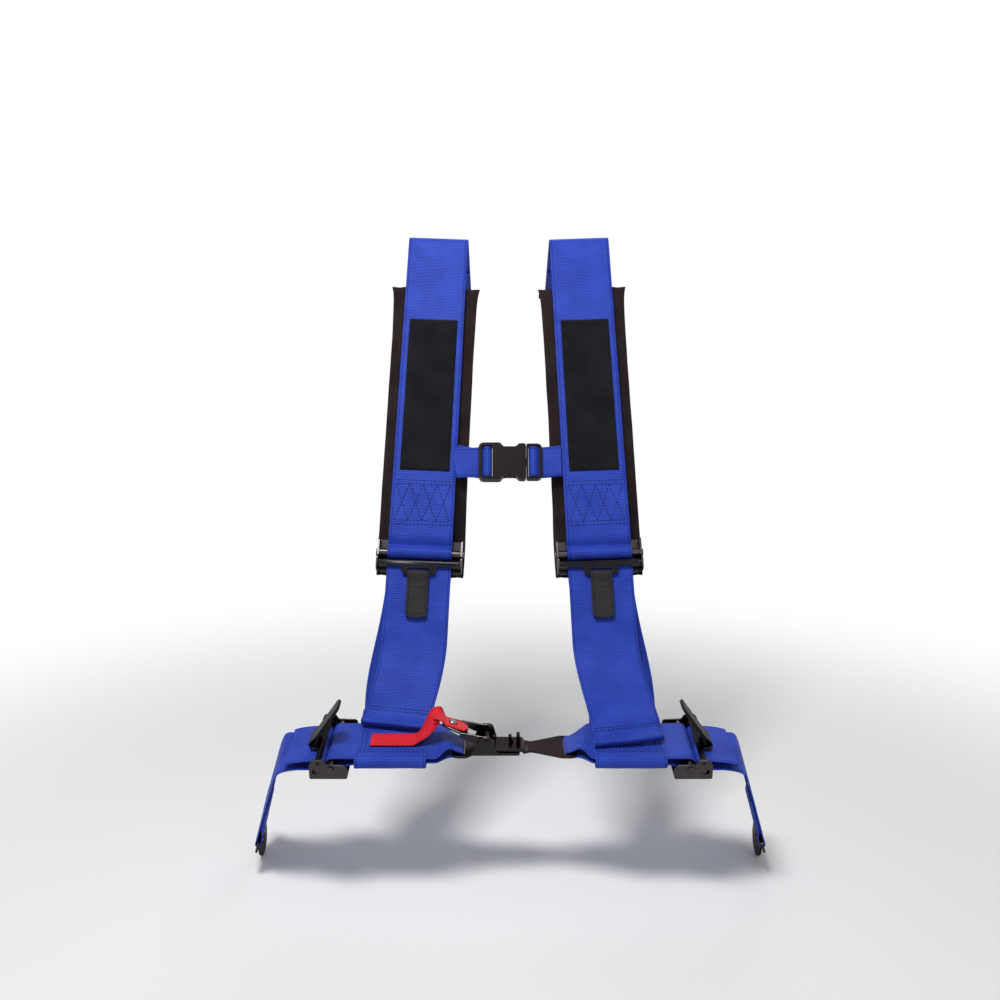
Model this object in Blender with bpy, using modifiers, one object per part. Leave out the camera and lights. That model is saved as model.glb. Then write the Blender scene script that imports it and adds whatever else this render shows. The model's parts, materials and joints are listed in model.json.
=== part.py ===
"""Four-point racing harness with a lever buckle. Metres, +Z up, seen from -Y as it lies in a seat."""
import math

import bmesh
import bpy
from mathutils import Matrix, Vector
from mathutils.geometry import interpolate_bezier

# Webbing
WEB_WIDTH = 0.0762
WEB_T = 0.0018
CHEST_WIDTH = 0.038
CHEST_T = 0.0015
TAB_WIDTH = 0.025
TAB_T = 0.0015
RELEASE_WIDTH = 0.025

# Clearances
CLEAR = 0.0004
FIT = 0.0003
SIDE_PLAY = 0.0008
CUT_PAST = 0.010

# Where the harness lies: the lap plane over the anchors, and the shoulder plane behind it
LAP_FORWARD = 0.0496
LAP_HEIGHT = 0.1360
LAP_SLOPE = math.radians(8)
FOOT_BEHIND = 0.060
FOOT_ABOVE = 0.032
RECLINE = math.radians(27)

# Shoulder straps, from the adjuster's crossbar upwards
ADJUSTER_HALF_SPACING = 0.1065
ADJUSTER_RISE = 0.169
SPLAY = math.radians(2.2)
UPPER_RUN = 0.410
EDGE_R = 0.012
BACK_RUN = 0.150
SEWN_RETURN = 0.088
ROLL_CLOSING = 0.024
LABEL_WIDTH = 0.060
LABEL_LENGTH = 0.200
LABEL_T = 0.001
LABEL_CORNER = 0.002
LABEL_RISE = 0.202

# Lower shoulder straps
FOOT_HALF_SPACING = 0.128
SEWN_LENGTH = 0.018
TAIL_STRAIGHT = 0.088
TAIL_ABOVE_LAP = 0.010
TAIL_FOLD = 0.022
TAIL_DIP = math.radians(14)
TAIL_PULL = 0.045
TAIL_LANDING_PULL = 0.032
REAR_PULL = 0.055
REAR_UPPER_PULL = 0.110
TAIL_END_Y = {"left": 0.014, "right": -0.021}

# Shoulder pads: rows of distance above the crossbar, depth, half width and half thickness
PAD_ROWS = (
    (-0.027, -0.0240, 0.056, 0.0016),
    (-0.017, -0.0250, 0.058, 0.0062),
    (0.036, -0.0250, 0.058, 0.0065),
    (0.082, -0.0115, 0.057, 0.0068),
    (0.338, -0.0102, 0.057, 0.0060),
    (0.354, -0.0065, 0.062, 0.0016),
)
PAD_SHOULDER = 0.78
PAD_SIDE_HEIGHT = 0.80

# Adjusters: local x across the strap, y up the strap, z to the front, origin on the crossbar
CROSSBAR_R = 0.005
CROSSBAR_TENON_R = 0.003
CROSSBAR_HEAD_R = 0.0042
CROSSBAR_HEAD_T = 0.0012
LOCK_R = 0.0038
LOCK_TENON_R = 0.0025
LOCK_DROP = 0.0138
LOCK_DEPTH = 0.002
LOCK_TRAVEL = 0.003
SHEET_T = 0.002
EAR_REACH = 0.0104
EAR_TOP = 0.0176
EAR_TOP_FRONT = 0.005
EAR_LEAN = 0.001
EAR_SLOPE = 0.003
EAR_CORNER = 0.003
EAR_FRONT_CORNER = 0.004
EAR_BACK_CORNER = 0.002
EAR_FRONT = 0.0115
EAR_WALL = 0.003
WINDOW_HALF = 0.030
WINDOW_LOW = -0.008
WINDOW_HIGH = 0.010
RELEASE_DROP = 0.013
RELEASE_FRONT = 0.008
RELEASE_T = 0.0016
RELEASE_STUB_R = 0.0016
RELEASE_TOP = 0.0022
RELEASE_BOTTOM = 0.0045
RELEASE_LIP_END = 0.0034
RELEASE_CORNER = 0.002
RELEASE_TOP_CORNER = 0.001
TONGUE_CORNER = 0.003
STUB_ROOT = 0.002
TONGUE_HALF = 0.020
TAB_BAR_H = 0.0025
TAB_SLOT_H = 0.0047
TAB_BAR_DROP = 0.0125
TAB_LENGTH = 0.053
TAB_SEWN = 0.013
TAB_LIFT = {"shoulder": 0.0, "lap": math.radians(125)}

# Lap straps, measured outwards from the centre
LAP_ADJUSTER_OUT = 0.190
LAP_LOOP_OUT = {"left": 0.0535, "right": 0.0620}
LAP_UNDER_START = 0.160
LAP_RETURN_END = 0.120
DRAWN_WIDTH = 0.048
DRAWN_RUN = 0.027
BOLSTER_OUT = 0.228
BOLSTER_R = 0.024
OUTER_SLANT = math.radians(21)
OUTER_FLARE = math.radians(17)
OUTER_RUN = 0.085
LAP_TAIL = 0.038
LAP_TAIL_DROOP = 0.35

# Anchor plates
PLATE_T = 0.0025
PLATE_CORNER = 0.006
SLOT_CORNER = 0.0015
SLOT_BAR = 0.009
SLOT_SIDE = 0.0080
ANCHOR_NECK = 0.012
ANCHOR_TAB = 0.034
EYE_R = 0.020
BOLT_HOLE_R = 0.00575
ANCHOR_SEWN = 0.070
ANCHOR_CLOSING = 0.016

# Lever buckle: x to the right, z up from its own plane, which tips up in front of the lap plane
BUCKLE_TILT = math.radians(9)
BUCKLE_DROP = 0.005
BUCKLE_SLOT_SIDE = 0.006
PIVOT_X = -0.026
PIVOT_Z = 0.012
PIVOT_R = 0.003
PIVOT_HEAD_R = 0.0042
PIVOT_HEAD_T = 0.0015
CHEEK_IN = 0.0205
CHEEK_BACK = 0.016
CHEEK_FRONT = 0.012
CHEEK_R = 0.0065
CHEEK_CORNER = 0.8 * CHEEK_R
LATCH_END = 0.010
LATCH_CORNER = 0.004
SLOT_WALL = 0.003
LEVER_HALF = 0.0200
LEVER_HUB_R = 0.007
LEVER_HUB_FLAT = 0.005
LEVER_RISE = math.radians(20)
LEVER_ARM = 0.030
LEVER_PLATE_START = 0.022
LEVER_PLATE_END = 0.051
LEVER_ARM_DEPTH = 0.004
LEVER_END_CORNER = 0.007
LEVER_ROOT_CORNER = 0.001
LEVER_END_HALF = 0.014
SCREW_OUT = 0.040
SCREW_R = 0.0023
SCREW_HEAD_R = 0.0050
SCREW_HEAD_T = 0.0026
NUT_R = 0.0040
NUT_T = 0.0020
LINK_BAR = 0.007
LINK_TONGUE_HALF = 0.0198
LINK_NECK_HALF = 0.013
LINK_NECK_RUN = 0.010
LINK_STEP_GAP = 0.002
LINK_STEP_LEAN = 0.001
LINK_CORNER = 0.002
LINK_STEP_CORNER = 0.004
LINK_NECK_CORNER = 0.005
TOOTH_T = 0.0058
TOOTH_HEIGHT = 0.0100
TOOTH_IN = 0.005
TOOTH_OUT = 0.012
TOOTH_TIP = 0.00464
TOOTH_CORNER = 0.0018
FINGER_T = 0.004
FINGER_IN = 0.002
FINGER_OUT = 0.010
FINGER_ROOT = 0.002
FINGER_CORNER = 0.0015
FINGERS = ((0.0, -0.003, 0.011), (0.0065, 0.0, 0.0135))
RELEASE_STRAP_Y = -0.003
RELEASE_START = 0.027
RELEASE_LOW = 0.0055
RELEASE_SETTLE = 0.030
RELEASE_PULL = 0.017
RELEASE_LIFT_OFF = 0.047
RELEASE_CREST = 0.059
RELEASE_HUMP = 0.009
RELEASE_END = 0.152

# Chest strap and its buckle: x along the strap, y up, z to the front
CHEST_ABOVE_RETURN = 0.005
CHEST_CENTRE = 0.0012
CHEST_FRONT = 0.0015
CHEST_SEWN = 0.030
CHEST_END = {"left": 0.0024, "right": -0.0016}
CHEST_REAR_START = 0.003
CHEST_REAR_PULL = 0.013
CHEST_BAR_PULL = 0.014
CHEST_FRONT_START = 0.014
CHEST_FRONT_PULL = 0.006
CHEST_END_PULL = 0.008
BUCKLE_HALF_LENGTH = 0.0385
BUCKLE_HALF_HEIGHT = 0.0235
BUCKLE_T = 0.012
PLUG_T = 0.010
BAR_ROOT = 0.001
BUCKLE_CORNER = 0.006
BUCKLE_BEND = 0.004
WAIST_CORNER = 0.003
PLUG_CORNER = 0.002
WEB_BAR_R = 0.0036
WEB_BAR_OUT = {"left": 0.0282, "right": 0.0280}
WEB_WINDOW_HALF = 0.0064
END_RAIL_BACK = 0.0022
SOCKET_END = 0.0190
SOCKET_HALF_HEIGHT = 0.0175
SOCKET_HALF_DEPTH = 0.0038
SOCKET_FLOOR = -0.013
WAIST_HALF_HEIGHT = 0.0185
PRONG_HALF_T = 0.003
PRONG_ROOT_Y = 0.0105
GUIDE_HALF = 0.0045
GUIDE_TIP = -0.008
SOCKET_WAIST = (-0.0125, -0.0085, 0.0065, 0.0105)
SOCKET_LIP = 0.001
SOCKET_STEP = 0.0002
GUIDE_ROOT = 0.0012
PRONG_CORNERS = ((0.0068, 0.0025, 0.002), (0.0045, 0.0085, 0.001), (-0.0040, 0.0090, 0.001),
                 (-0.0075, 0.0060, 0.001), (-0.0075, 0.0005, 0.001), (-0.0040, -0.0015, 0.002))
PRONG_ROOT_HALF = 0.002

# Sizes that follow from the ones above
LAYER = WEB_T + CLEAR
ROLL_R = CROSSBAR_R + CLEAR + WEB_T / 2
WRAP_R = LOCK_R + CLEAR + WEB_T / 2
LOOP_R = PLATE_T / 2 + CLEAR + WEB_T / 2
SEWN_TOP = LOOP_R + LAYER
SEWN_UNDER = -LOOP_R - 2 * LAYER
SLOT_HALF = WEB_WIDTH / 2 + SIDE_PLAY
SLOT_DEPTH = LOOP_R + WEB_T / 2 + CLEAR
PLATE_HALF = SLOT_HALF + SLOT_SIDE
BUCKLE_SLOT_HALF = DRAWN_WIDTH / 2 + SIDE_PLAY
BUCKLE_PLATE_HALF = BUCKLE_SLOT_HALF + BUCKLE_SLOT_SIDE
DRAWN_START = SLOT_BAR + CLEAR
EAR_IN = WEB_WIDTH / 2 + EAR_REACH
EAR_OUT = EAR_IN + SHEET_T
BASE_FRONT = -LOCK_DEPTH - WRAP_R - WEB_T / 2 - CLEAR
BASE_BACK = BASE_FRONT - SHEET_T
LOCK_SLOT_R = LOCK_TENON_R + FIT
EAR_BOTTOM = -LOCK_DROP - LOCK_TRAVEL - LOCK_SLOT_R - EAR_WALL
TAB_R = math.hypot(TAB_BAR_H, RELEASE_T) / 2 + CLEAR + TAB_T / 2
LINK_BOTTOM = PLATE_T / 2 + FIT
LINK_TOP = LINK_BOTTOM + PLATE_T
CHEST_WRAP_R = WEB_BAR_R + CLEAR + CHEST_T / 2
CHEST_RISE = ADJUSTER_RISE + SEWN_RETURN + CHEST_ABOVE_RETURN + CHEST_WIDTH / 2

SIDES = {"left": -1, "right": 1}
BLUE = (0.02, 0.06, 0.45)
BLACK_WEB = (0.012, 0.012, 0.013)
STEEL = (0.05, 0.048, 0.05)
X_AXIS = Vector((1, 0, 0))
Y_AXIS = Vector((0, 1, 0))
Z_AXIS = Vector((0, 0, 1))


def clear_scene():
    for obj in list(bpy.data.objects):
        bpy.data.objects.remove(obj, do_unlink=True)


def part_collection():
    collection = bpy.data.collections.new("racing_harness")
    bpy.context.scene.collection.children.link(collection)
    return collection


clear_scene()
PARTS = part_collection()


def material(name, colour, roughness, metallic):
    made = bpy.data.materials.new(name)
    made.use_nodes = True
    shader = made.node_tree.nodes["Principled BSDF"]
    shader.inputs["Base Color"].default_value = (*colour, 1)
    shader.inputs["Roughness"].default_value = roughness
    shader.inputs["Metallic"].default_value = metallic
    return made


def webbing(name):
    return material(name, BLUE, 0.75, 0)


def steel(name):
    return material(name, STEEL, 0.22, 1)


# Frames that the pieces are laid out in

def turned_about(axis, angle):
    return Matrix.Rotation(angle, 4, axis)


def moved(x, y, z):
    return Matrix.Translation((x, y, z))


LAP = moved(0, -LAP_FORWARD, LAP_HEIGHT) @ turned_about("X", LAP_SLOPE)
UPRIGHT = turned_about("X", math.pi / 2)
SIDEWAYS = turned_about("Z", math.pi / 2) @ UPRIGHT
BACK = (moved(0, FOOT_BEHIND - LAP_FORWARD, LAP_HEIGHT + FOOT_ABOVE)
        @ turned_about("X", math.pi / 2 - RECLINE))


def towards_buckle(share):
    """The lap plane, lowered and tipped by a share of the way to the buckle's own plane."""
    return LAP @ moved(0, 0, -BUCKLE_DROP * share) @ turned_about("X", -BUCKLE_TILT * share)


BUCKLE = towards_buckle(1)


def shoulder_frame(side):
    """On the strap's front layer at the crossbar, y up the strap and z to the front."""
    crossbar = moved(SIDES[side] * ADJUSTER_HALF_SPACING, ADJUSTER_RISE, 0)
    return BACK @ crossbar @ turned_about("Z", SIDES[side] * SPLAY)


def adjuster_frame(kind, side):
    """On the crossbar's axis, y towards the strap that is sewn round it."""
    if kind == "shoulder":
        return shoulder_frame(side) @ moved(0, 0, -ROLL_R)
    crossbar = moved(SIDES[side] * LAP_ADJUSTER_OUT, 0, LOOP_R - ROLL_R)
    return LAP @ crossbar @ turned_about("Z", SIDES[side] * math.pi / 2)


# Outlines in a plane, as lists of (u, v)

def arc(centre, radius, start, end, steps):
    angles = [math.radians(start + (end - start) * k / steps) for k in range(steps + 1)]
    return [(centre[0] + radius * math.cos(a), centre[1] + radius * math.sin(a)) for a in angles]


def circle(u, v, radius, steps=16):
    return arc((u, v), radius, 0, 360, steps)[:-1]


def rectangle(u0, v0, u1, v1):
    return [(u0, v0), (u1, v0), (u1, v1), (u0, v1)]


def stadium(u0, u1, v, radius):
    return arc((u1, v), radius, -90, 90, 6) + arc((u0, v), radius, 90, 270, 6)


def bezier(start, start_pull, end_pull, end, steps):
    corners = [Vector((u, v, 0)) for u, v in (start, start_pull, end_pull, end)]
    return [(p.x, p.y) for p in interpolate_bezier(*corners, steps + 1)]


def rounded(corners, steps=3):
    """Outline through corners of (u, v, radius), each turned as an arc."""
    outline = []
    for index, (u, v, radius) in enumerate(corners):
        here = Vector((u, v))
        back = (Vector(corners[index - 1][:2]) - here).normalized()
        ahead = (Vector(corners[(index + 1) % len(corners)][:2]) - here).normalized()
        if radius == 0:
            outline.append((u, v))
            continue
        half = back.angle(ahead) / 2
        centre = here + (back + ahead).normalized() * radius / math.sin(half)
        begin = here + back * radius / math.tan(half) - centre
        finish = here + ahead * radius / math.tan(half) - centre
        start = math.degrees(math.atan2(begin.y, begin.x))
        sweep = math.degrees(math.atan2(finish.y, finish.x)) - start
        sweep = (sweep + 180) % 360 - 180
        outline += arc(centre, radius, start, start + sweep, steps)
    return outline


def mirrored(corners):
    """Corners of the upper half, then the same ones below, so that the outline is even about v = 0."""
    return list(corners) + [(u, -v, radius) for u, v, radius in reversed(corners)]


# Meshes

def welded(mesh):
    cage = bmesh.new()
    cage.from_mesh(mesh)
    bmesh.ops.remove_doubles(cage, verts=cage.verts, dist=0.000001)
    bmesh.ops.recalc_face_normals(cage, faces=cage.faces)
    cage.to_mesh(mesh)
    cage.free()
    return mesh


def evaluated(obj):
    """The object's finished mesh; the object itself is removed."""
    graph = bpy.context.evaluated_depsgraph_get()
    mesh = bpy.data.meshes.new_from_object(obj.evaluated_get(graph))
    bpy.data.objects.remove(obj, do_unlink=True)
    return welded(mesh)


def scratch(data):
    obj = bpy.data.objects.new("scratch", data)
    PARTS.objects.link(obj)
    return obj


def plate(thickness, outer, holes=(), frame=None):
    """Flat outline with holes in the frame's XY plane, half its thickness to each side."""
    curve = bpy.data.curves.new("outline", "CURVE")
    curve.dimensions = "2D"
    curve.fill_mode = "BOTH"
    curve.extrude = thickness / 2
    for loop in (outer, *holes):
        spline = curve.splines.new("POLY")
        spline.points.add(len(loop) - 1)
        for point, (u, v) in zip(spline.points, loop):
            point.co = (u, v, 0, 1)
        spline.use_cyclic_u = True
    mesh = evaluated(scratch(curve))
    if frame:
        mesh.transform(frame)
    return mesh


def turned(profile, steps=12):
    """Round piece about the X axis; the profile is (x, radius) from its +x end to its -x end."""
    mesh = bpy.data.meshes.new("profile")
    points = [(radius, 0, x) for x, radius in profile]
    mesh.from_pydata(points, [(k, k + 1) for k in range(len(points) - 1)], [])
    obj = scratch(mesh)
    screw = obj.modifiers.new("turn", "SCREW")
    screw.axis = "Z"
    screw.steps = steps
    screw.render_steps = steps
    screw.use_merge_vertices = True
    screw.merge_threshold = 0.00001
    made = evaluated(obj)
    made.transform(turned_about("Y", math.pi / 2))
    return made


def pin(half_length, radius, ends=()):
    """Turned pin, even about x = 0, with end steps of (length, radius)."""
    profile = [(half_length, radius)]
    reach = half_length
    for length, step_radius in ends:
        profile.insert(0, (reach, step_radius))
        reach += length
        profile.insert(0, (reach, step_radius))
    profile.insert(0, (reach, 0))
    return turned(profile + [(-x, r) for x, r in reversed(profile)])


def combined(operation, first, *others):
    """Boolean of meshes, one after another."""
    for other in others:
        base = scratch(first)
        tool = scratch(other)
        cut = base.modifiers.new("combine", "BOOLEAN")
        cut.operation = operation
        cut.solver = "EXACT"
        cut.object = tool
        graph = bpy.context.evaluated_depsgraph_get()
        first = bpy.data.meshes.new_from_object(base.evaluated_get(graph))
        bpy.data.objects.remove(base, do_unlink=True)
        bpy.data.objects.remove(tool, do_unlink=True)
    return welded(first)


def shade(mesh):
    mesh.shade_smooth()
    mesh.set_sharp_from_angle(angle=math.radians(35))


def place(name, mesh, finish, frame=None, parent=None):
    shade(mesh)
    mesh.name = name
    obj = bpy.data.objects.new(name, mesh)
    PARTS.objects.link(obj)
    mesh.materials.clear()
    mesh.materials.append(finish)
    obj.parent = parent
    obj.matrix_basis = frame or Matrix()
    return obj


def empty(name, frame):
    obj = bpy.data.objects.new(name, None)
    PARTS.objects.link(obj)
    obj.empty_display_size = 0.02
    obj.matrix_basis = frame
    return obj


# Webbing: a strip along a path of (point, direction across), narrower where the direction is shorter

def strip(name, path, width, thickness, finish):
    mesh = bpy.data.meshes.new(name)
    cage = bmesh.new()
    rows = []
    for point, across in path:
        half = across * width / 2
        rows.append((cage.verts.new(point - half), cage.verts.new(point + half)))
    for (a, b), (c, d) in zip(rows, rows[1:]):
        cage.faces.new((a, b, d, c))
    cage.to_mesh(mesh)
    cage.free()
    obj = place(name, mesh, finish)
    solid = obj.modifiers.new("thickness", "SOLIDIFY")
    solid.thickness = thickness
    solid.offset = 0
    solid.use_even_offset = True
    return obj


def along_yz(frame, outline):
    across = frame.to_3x3() @ X_AXIS
    return [(frame @ Vector((0, u, v)), across) for u, v in outline]


def along_xz(frame, outline):
    across = frame.to_3x3() @ Y_AXIS
    return [(frame @ Vector((u, 0, v)), across) for u, v in outline]


def flowing(start, end, pull_start, pull_end, steps):
    """Curve between two (point, across, heading) ends, leaving and arriving along their headings."""
    corners = (start[0], start[0] + start[2] * pull_start, end[0] - end[2] * pull_end, end[0])
    points = interpolate_bezier(*corners, steps + 1)
    across = [start[1].lerp(end[1], k / steps).normalized() for k in range(steps + 1)]
    return list(zip(points, across))


# Shoulder strap, pad and label

def upper_shoulder_strap(side):
    """From the sewn return round the crossbar, up to the seat's slot edge, back to its anchor."""
    roll = (0, -ROLL_R)
    low = ROLL_CLOSING
    top = UPPER_RUN
    back = -EDGE_R - BACK_RUN
    upper = top + EDGE_R
    path = [(SEWN_RETURN, -LAYER)]
    path += bezier((low, -LAYER), (low / 2, -LAYER), (low / 2, -2 * ROLL_R), (0, -2 * ROLL_R), 6)
    path += arc(roll, ROLL_R, -90, -270, 10)[1:]
    path += arc((top, -EDGE_R), EDGE_R, 90, 0, 8)
    path += [(upper - inward, back - along) for along, inward in anchor_loop()]
    frame = shoulder_frame(side)
    strip(f"{side}_upper_shoulder_strap", along_yz(frame, path), WEB_WIDTH, WEB_T, webbing("upper_web"))
    eye = frame @ moved(0, upper - LOOP_R, back) @ turned_about("X", -math.pi / 2)
    anchor_plate(f"{side}_shoulder_anchor", eye, RECLINE)


def shoulder_pad(side):
    """Soft pad with flat sewn ends, thick in the middle and drawn in at its sides."""
    profile = [(1, 0), (PAD_SHOULDER, PAD_SIDE_HEIGHT), (0, 1), (-PAD_SHOULDER, PAD_SIDE_HEIGHT),
               (-1, 0), (-PAD_SHOULDER, -PAD_SIDE_HEIGHT), (0, -1), (PAD_SHOULDER, -PAD_SIDE_HEIGHT)]
    mesh = bpy.data.meshes.new("pad")
    cage = bmesh.new()
    rings = []
    for rise, depth, half_width, half_height in PAD_ROWS:
        rings.append([cage.verts.new((u * half_width, rise, depth + v * half_height)) for u, v in profile])
    for low, high in zip(rings, rings[1:]):
        for k in range(len(profile)):
            cage.faces.new((low[k], low[k - 1], high[k - 1], high[k]))
    cage.faces.new(rings[0])
    cage.faces.new(rings[-1][::-1])
    cage.to_mesh(mesh)
    cage.free()
    obj = place(f"{side}_shoulder_pad", welded(mesh), material("pad_cloth", BLACK_WEB, 0.95, 0),
                shoulder_frame(side))
    soft = obj.modifiers.new("soft", "SUBSURF")
    soft.levels = 2
    soft.render_levels = 2


def label_patch(side):
    half_w = LABEL_WIDTH / 2
    half_l = LABEL_LENGTH / 2
    corner = LABEL_CORNER
    outline = rounded([(half_w, half_l, corner), (-half_w, half_l, corner),
                       (-half_w, -half_l, corner), (half_w, -half_l, corner)])
    front = WEB_T / 2 + CLEAR + LABEL_T / 2
    place(f"{side}_label_patch", plate(LABEL_T, outline), material("label", BLACK_WEB, 0.6, 0),
          shoulder_frame(side) @ moved(0, LABEL_RISE, front))


# Anchor plates, y from the strap's loop to the bolt, bent towards +z when the bend is positive

def slot_outline(half):
    corner = SLOT_CORNER
    return rounded([(-half, 0, corner), (half, 0, corner),
                    (half, SLOT_DEPTH, corner), (-half, SLOT_DEPTH, corner)], 2)


def anchor_loop():
    """Webbing round an anchor's bar, (towards the bolt, inwards), ending in its sewn return."""
    past_bar = -SLOT_BAR - CLEAR
    sewn = past_bar - ANCHOR_CLOSING
    pull = ANCHOR_CLOSING / 2
    path = arc((0, LOOP_R), LOOP_R, -90, 90, 8)
    path += bezier((past_bar, 2 * LOOP_R), (past_bar - pull, 2 * LOOP_R),
                   (sewn + pull, LAYER), (sewn, LAYER), 5)
    path.append((-ANCHOR_SEWN, LAYER))
    return path


def anchor_plate(name, frame, bend):
    line = SLOT_DEPTH + ANCHOR_NECK
    corner = PLATE_CORNER
    body = rounded([(-PLATE_HALF, -SLOT_BAR, corner), (PLATE_HALF, -SLOT_BAR, corner),
                    (PLATE_HALF, SLOT_DEPTH, corner), (EYE_R, line, 0),
                    (-EYE_R, line, 0), (-PLATE_HALF, SLOT_DEPTH, corner)])
    tab = [(-EYE_R, 0), (EYE_R, 0)] + arc((0, ANCHOR_TAB - EYE_R), EYE_R, 0, 180, 10)
    hole = circle(0, ANCHOR_TAB - EYE_R, BOLT_HOLE_R)
    fold = moved(0, line, 0) @ turned_about("X", bend)
    flat = plate(PLATE_T, body, [slot_outline(SLOT_HALF)])
    eye = plate(PLATE_T, tab, [hole], fold)
    along_fold = moved(0, line, 0) @ turned_about("Y", math.pi / 2)
    knuckle = plate(2 * EYE_R, circle(0, 0, PLATE_T / 2), (), along_fold)
    mesh = combined("UNION", flat, eye, knuckle)
    place(name, mesh, steel("anchor_steel"), frame)


# Adjusters

def adjuster_ears():
    """Side outline of the folded frame, (y, z), with its crossbar, lock bar and lever holes."""
    outer = rounded([(EAR_TOP, BASE_BACK, EAR_BACK_CORNER), (EAR_TOP, EAR_TOP_FRONT, EAR_FRONT_CORNER),
                     (-LOCK_DROP / 3, EAR_TOP_FRONT + EAR_LEAN, EAR_CORNER),
                     (-LOCK_DROP / 2, EAR_FRONT, EAR_CORNER),
                     (EAR_BOTTOM + EAR_SLOPE, EAR_FRONT, EAR_FRONT_CORNER),
                     (EAR_BOTTOM, EAR_TOP_FRONT, EAR_CORNER), (EAR_BOTTOM, BASE_BACK, EAR_BACK_CORNER)])
    holes = [circle(0, 0, CROSSBAR_TENON_R + FIT),
             stadium(-LOCK_DROP - LOCK_TRAVEL, -LOCK_DROP, -LOCK_DEPTH, LOCK_SLOT_R),
             circle(-RELEASE_DROP, RELEASE_FRONT, RELEASE_STUB_R + FIT, 10)]
    return outer, holes


def adjuster_body():
    """Channel of folded sheet: the base behind the webbing, an ear at each side."""
    channel = [(-EAR_OUT, EAR_FRONT), (-EAR_OUT, BASE_BACK), (EAR_OUT, BASE_BACK), (EAR_OUT, EAR_FRONT),
               (EAR_IN, EAR_FRONT), (EAR_IN, BASE_FRONT), (-EAR_IN, BASE_FRONT), (-EAR_IN, EAR_FRONT)]
    height = EAR_TOP - EAR_BOTTOM
    middle = (EAR_TOP + EAR_BOTTOM) / 2
    stock = plate(height + CUT_PAST, channel, (), moved(0, middle, 0) @ turned_about("X", math.pi / 2))
    outer, holes = adjuster_ears()
    sides = plate(2 * EAR_OUT + CUT_PAST, outer, holes, SIDEWAYS)
    window = rounded([(-WINDOW_HALF, WINDOW_LOW, EAR_CORNER), (WINDOW_HALF, WINDOW_LOW, EAR_CORNER),
                      (WINDOW_HALF, WINDOW_HIGH, EAR_CORNER), (-WINDOW_HALF, WINDOW_HIGH, EAR_CORNER)])
    opening = plate(3 * SHEET_T, window, (), moved(0, 0, (BASE_BACK + BASE_FRONT) / 2))
    return combined("DIFFERENCE", combined("INTERSECT", stock, sides), opening)


def release_lever():
    """Cross plate between the ears with a slotted tongue for the pull tab, about its pivot."""
    half = EAR_IN - SIDE_PLAY
    foot = TAB_BAR_DROP + TAB_BAR_H / 2
    outer = rounded([(-half, RELEASE_TOP, RELEASE_TOP_CORNER), (-half, -RELEASE_LIP_END, RELEASE_CORNER),
                     (-TONGUE_HALF, -RELEASE_BOTTOM, RELEASE_CORNER), (-TONGUE_HALF, -foot, TONGUE_CORNER),
                     (TONGUE_HALF, -foot, TONGUE_CORNER), (TONGUE_HALF, -RELEASE_BOTTOM, RELEASE_CORNER),
                     (half, -RELEASE_LIP_END, RELEASE_CORNER), (half, RELEASE_TOP, RELEASE_TOP_CORNER)], 2)
    slot_low = -TAB_BAR_DROP + TAB_BAR_H / 2
    slot_half = TAB_WIDTH / 2 + SIDE_PLAY
    slot = rectangle(-slot_half, slot_low, slot_half, slot_low + TAB_SLOT_H)
    body = plate(RELEASE_T, outer, [slot])
    for end in (-1, 1):
        stub = pin((EAR_OUT - half + STUB_ROOT) / 2, RELEASE_STUB_R)
        stub.transform(moved(end * (EAR_OUT + half - STUB_ROOT) / 2, 0, 0))
        body = combined("UNION", body, stub)
    return body


def pull_tab(name, finish, frame, parent):
    """Webbing loop round the tongue's bar, its two legs sewn together below."""
    gap = (TAB_T + CLEAR) / 2
    path = [(-TAB_LENGTH, -gap)]
    path += bezier((-TAB_SEWN, -gap), (-TAB_SEWN / 2, -gap), (-TAB_SEWN / 2, -TAB_R), (0, -TAB_R), 4)
    path += arc((0, 0), TAB_R, -90, 90, 8)[1:]
    path += bezier((0, TAB_R), (-TAB_SEWN / 2, TAB_R), (-TAB_SEWN / 2, gap), (-TAB_SEWN, gap), 4)[1:]
    path.append((-TAB_LENGTH, gap))
    obj = strip(name, along_yz(Matrix(), path), TAB_WIDTH, TAB_T, finish)
    obj.matrix_basis = frame
    obj.parent = parent


def adjuster(kind, side):
    prefix = f"{side}_{kind}_adjuster"
    hub = empty(f"{prefix}_origin", adjuster_frame(kind, side))
    place(f"{prefix}_frame", adjuster_body(), steel("adjuster_steel"), None, hub)
    crossbar = pin(EAR_IN - FIT, CROSSBAR_R,
                   [(SHEET_T + 2 * FIT, CROSSBAR_TENON_R), (CROSSBAR_HEAD_T, CROSSBAR_HEAD_R)])
    place(f"{prefix}_crossbar", crossbar, steel("crossbar_steel"), None, hub)
    lock = pin(EAR_IN - 2 * FIT, LOCK_R, [(SHEET_T + FIT, LOCK_TENON_R)])
    place(f"{prefix}_lock_bar", lock, steel("lock_steel"), moved(0, -LOCK_DROP, -LOCK_DEPTH), hub)
    at_pivot = moved(0, -RELEASE_DROP, RELEASE_FRONT)
    place(f"{prefix}_release", release_lever(), steel("release_steel"), at_pivot, hub)
    at_bar = at_pivot @ moved(0, -TAB_BAR_DROP, 0) @ turned_about("X", -TAB_LIFT[kind])
    pull_tab(f"{prefix}_pull_tab", material("tab_web", BLACK_WEB, 0.9, 0), at_bar, hub)


def lock_wrap():
    """Webbing over the lock bar in an adjuster's (y, z), from the layer behind to the one in front."""
    return arc((-LOCK_DROP, -LOCK_DEPTH), WRAP_R, -90, 90, 10)


# Lower shoulder straps

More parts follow.
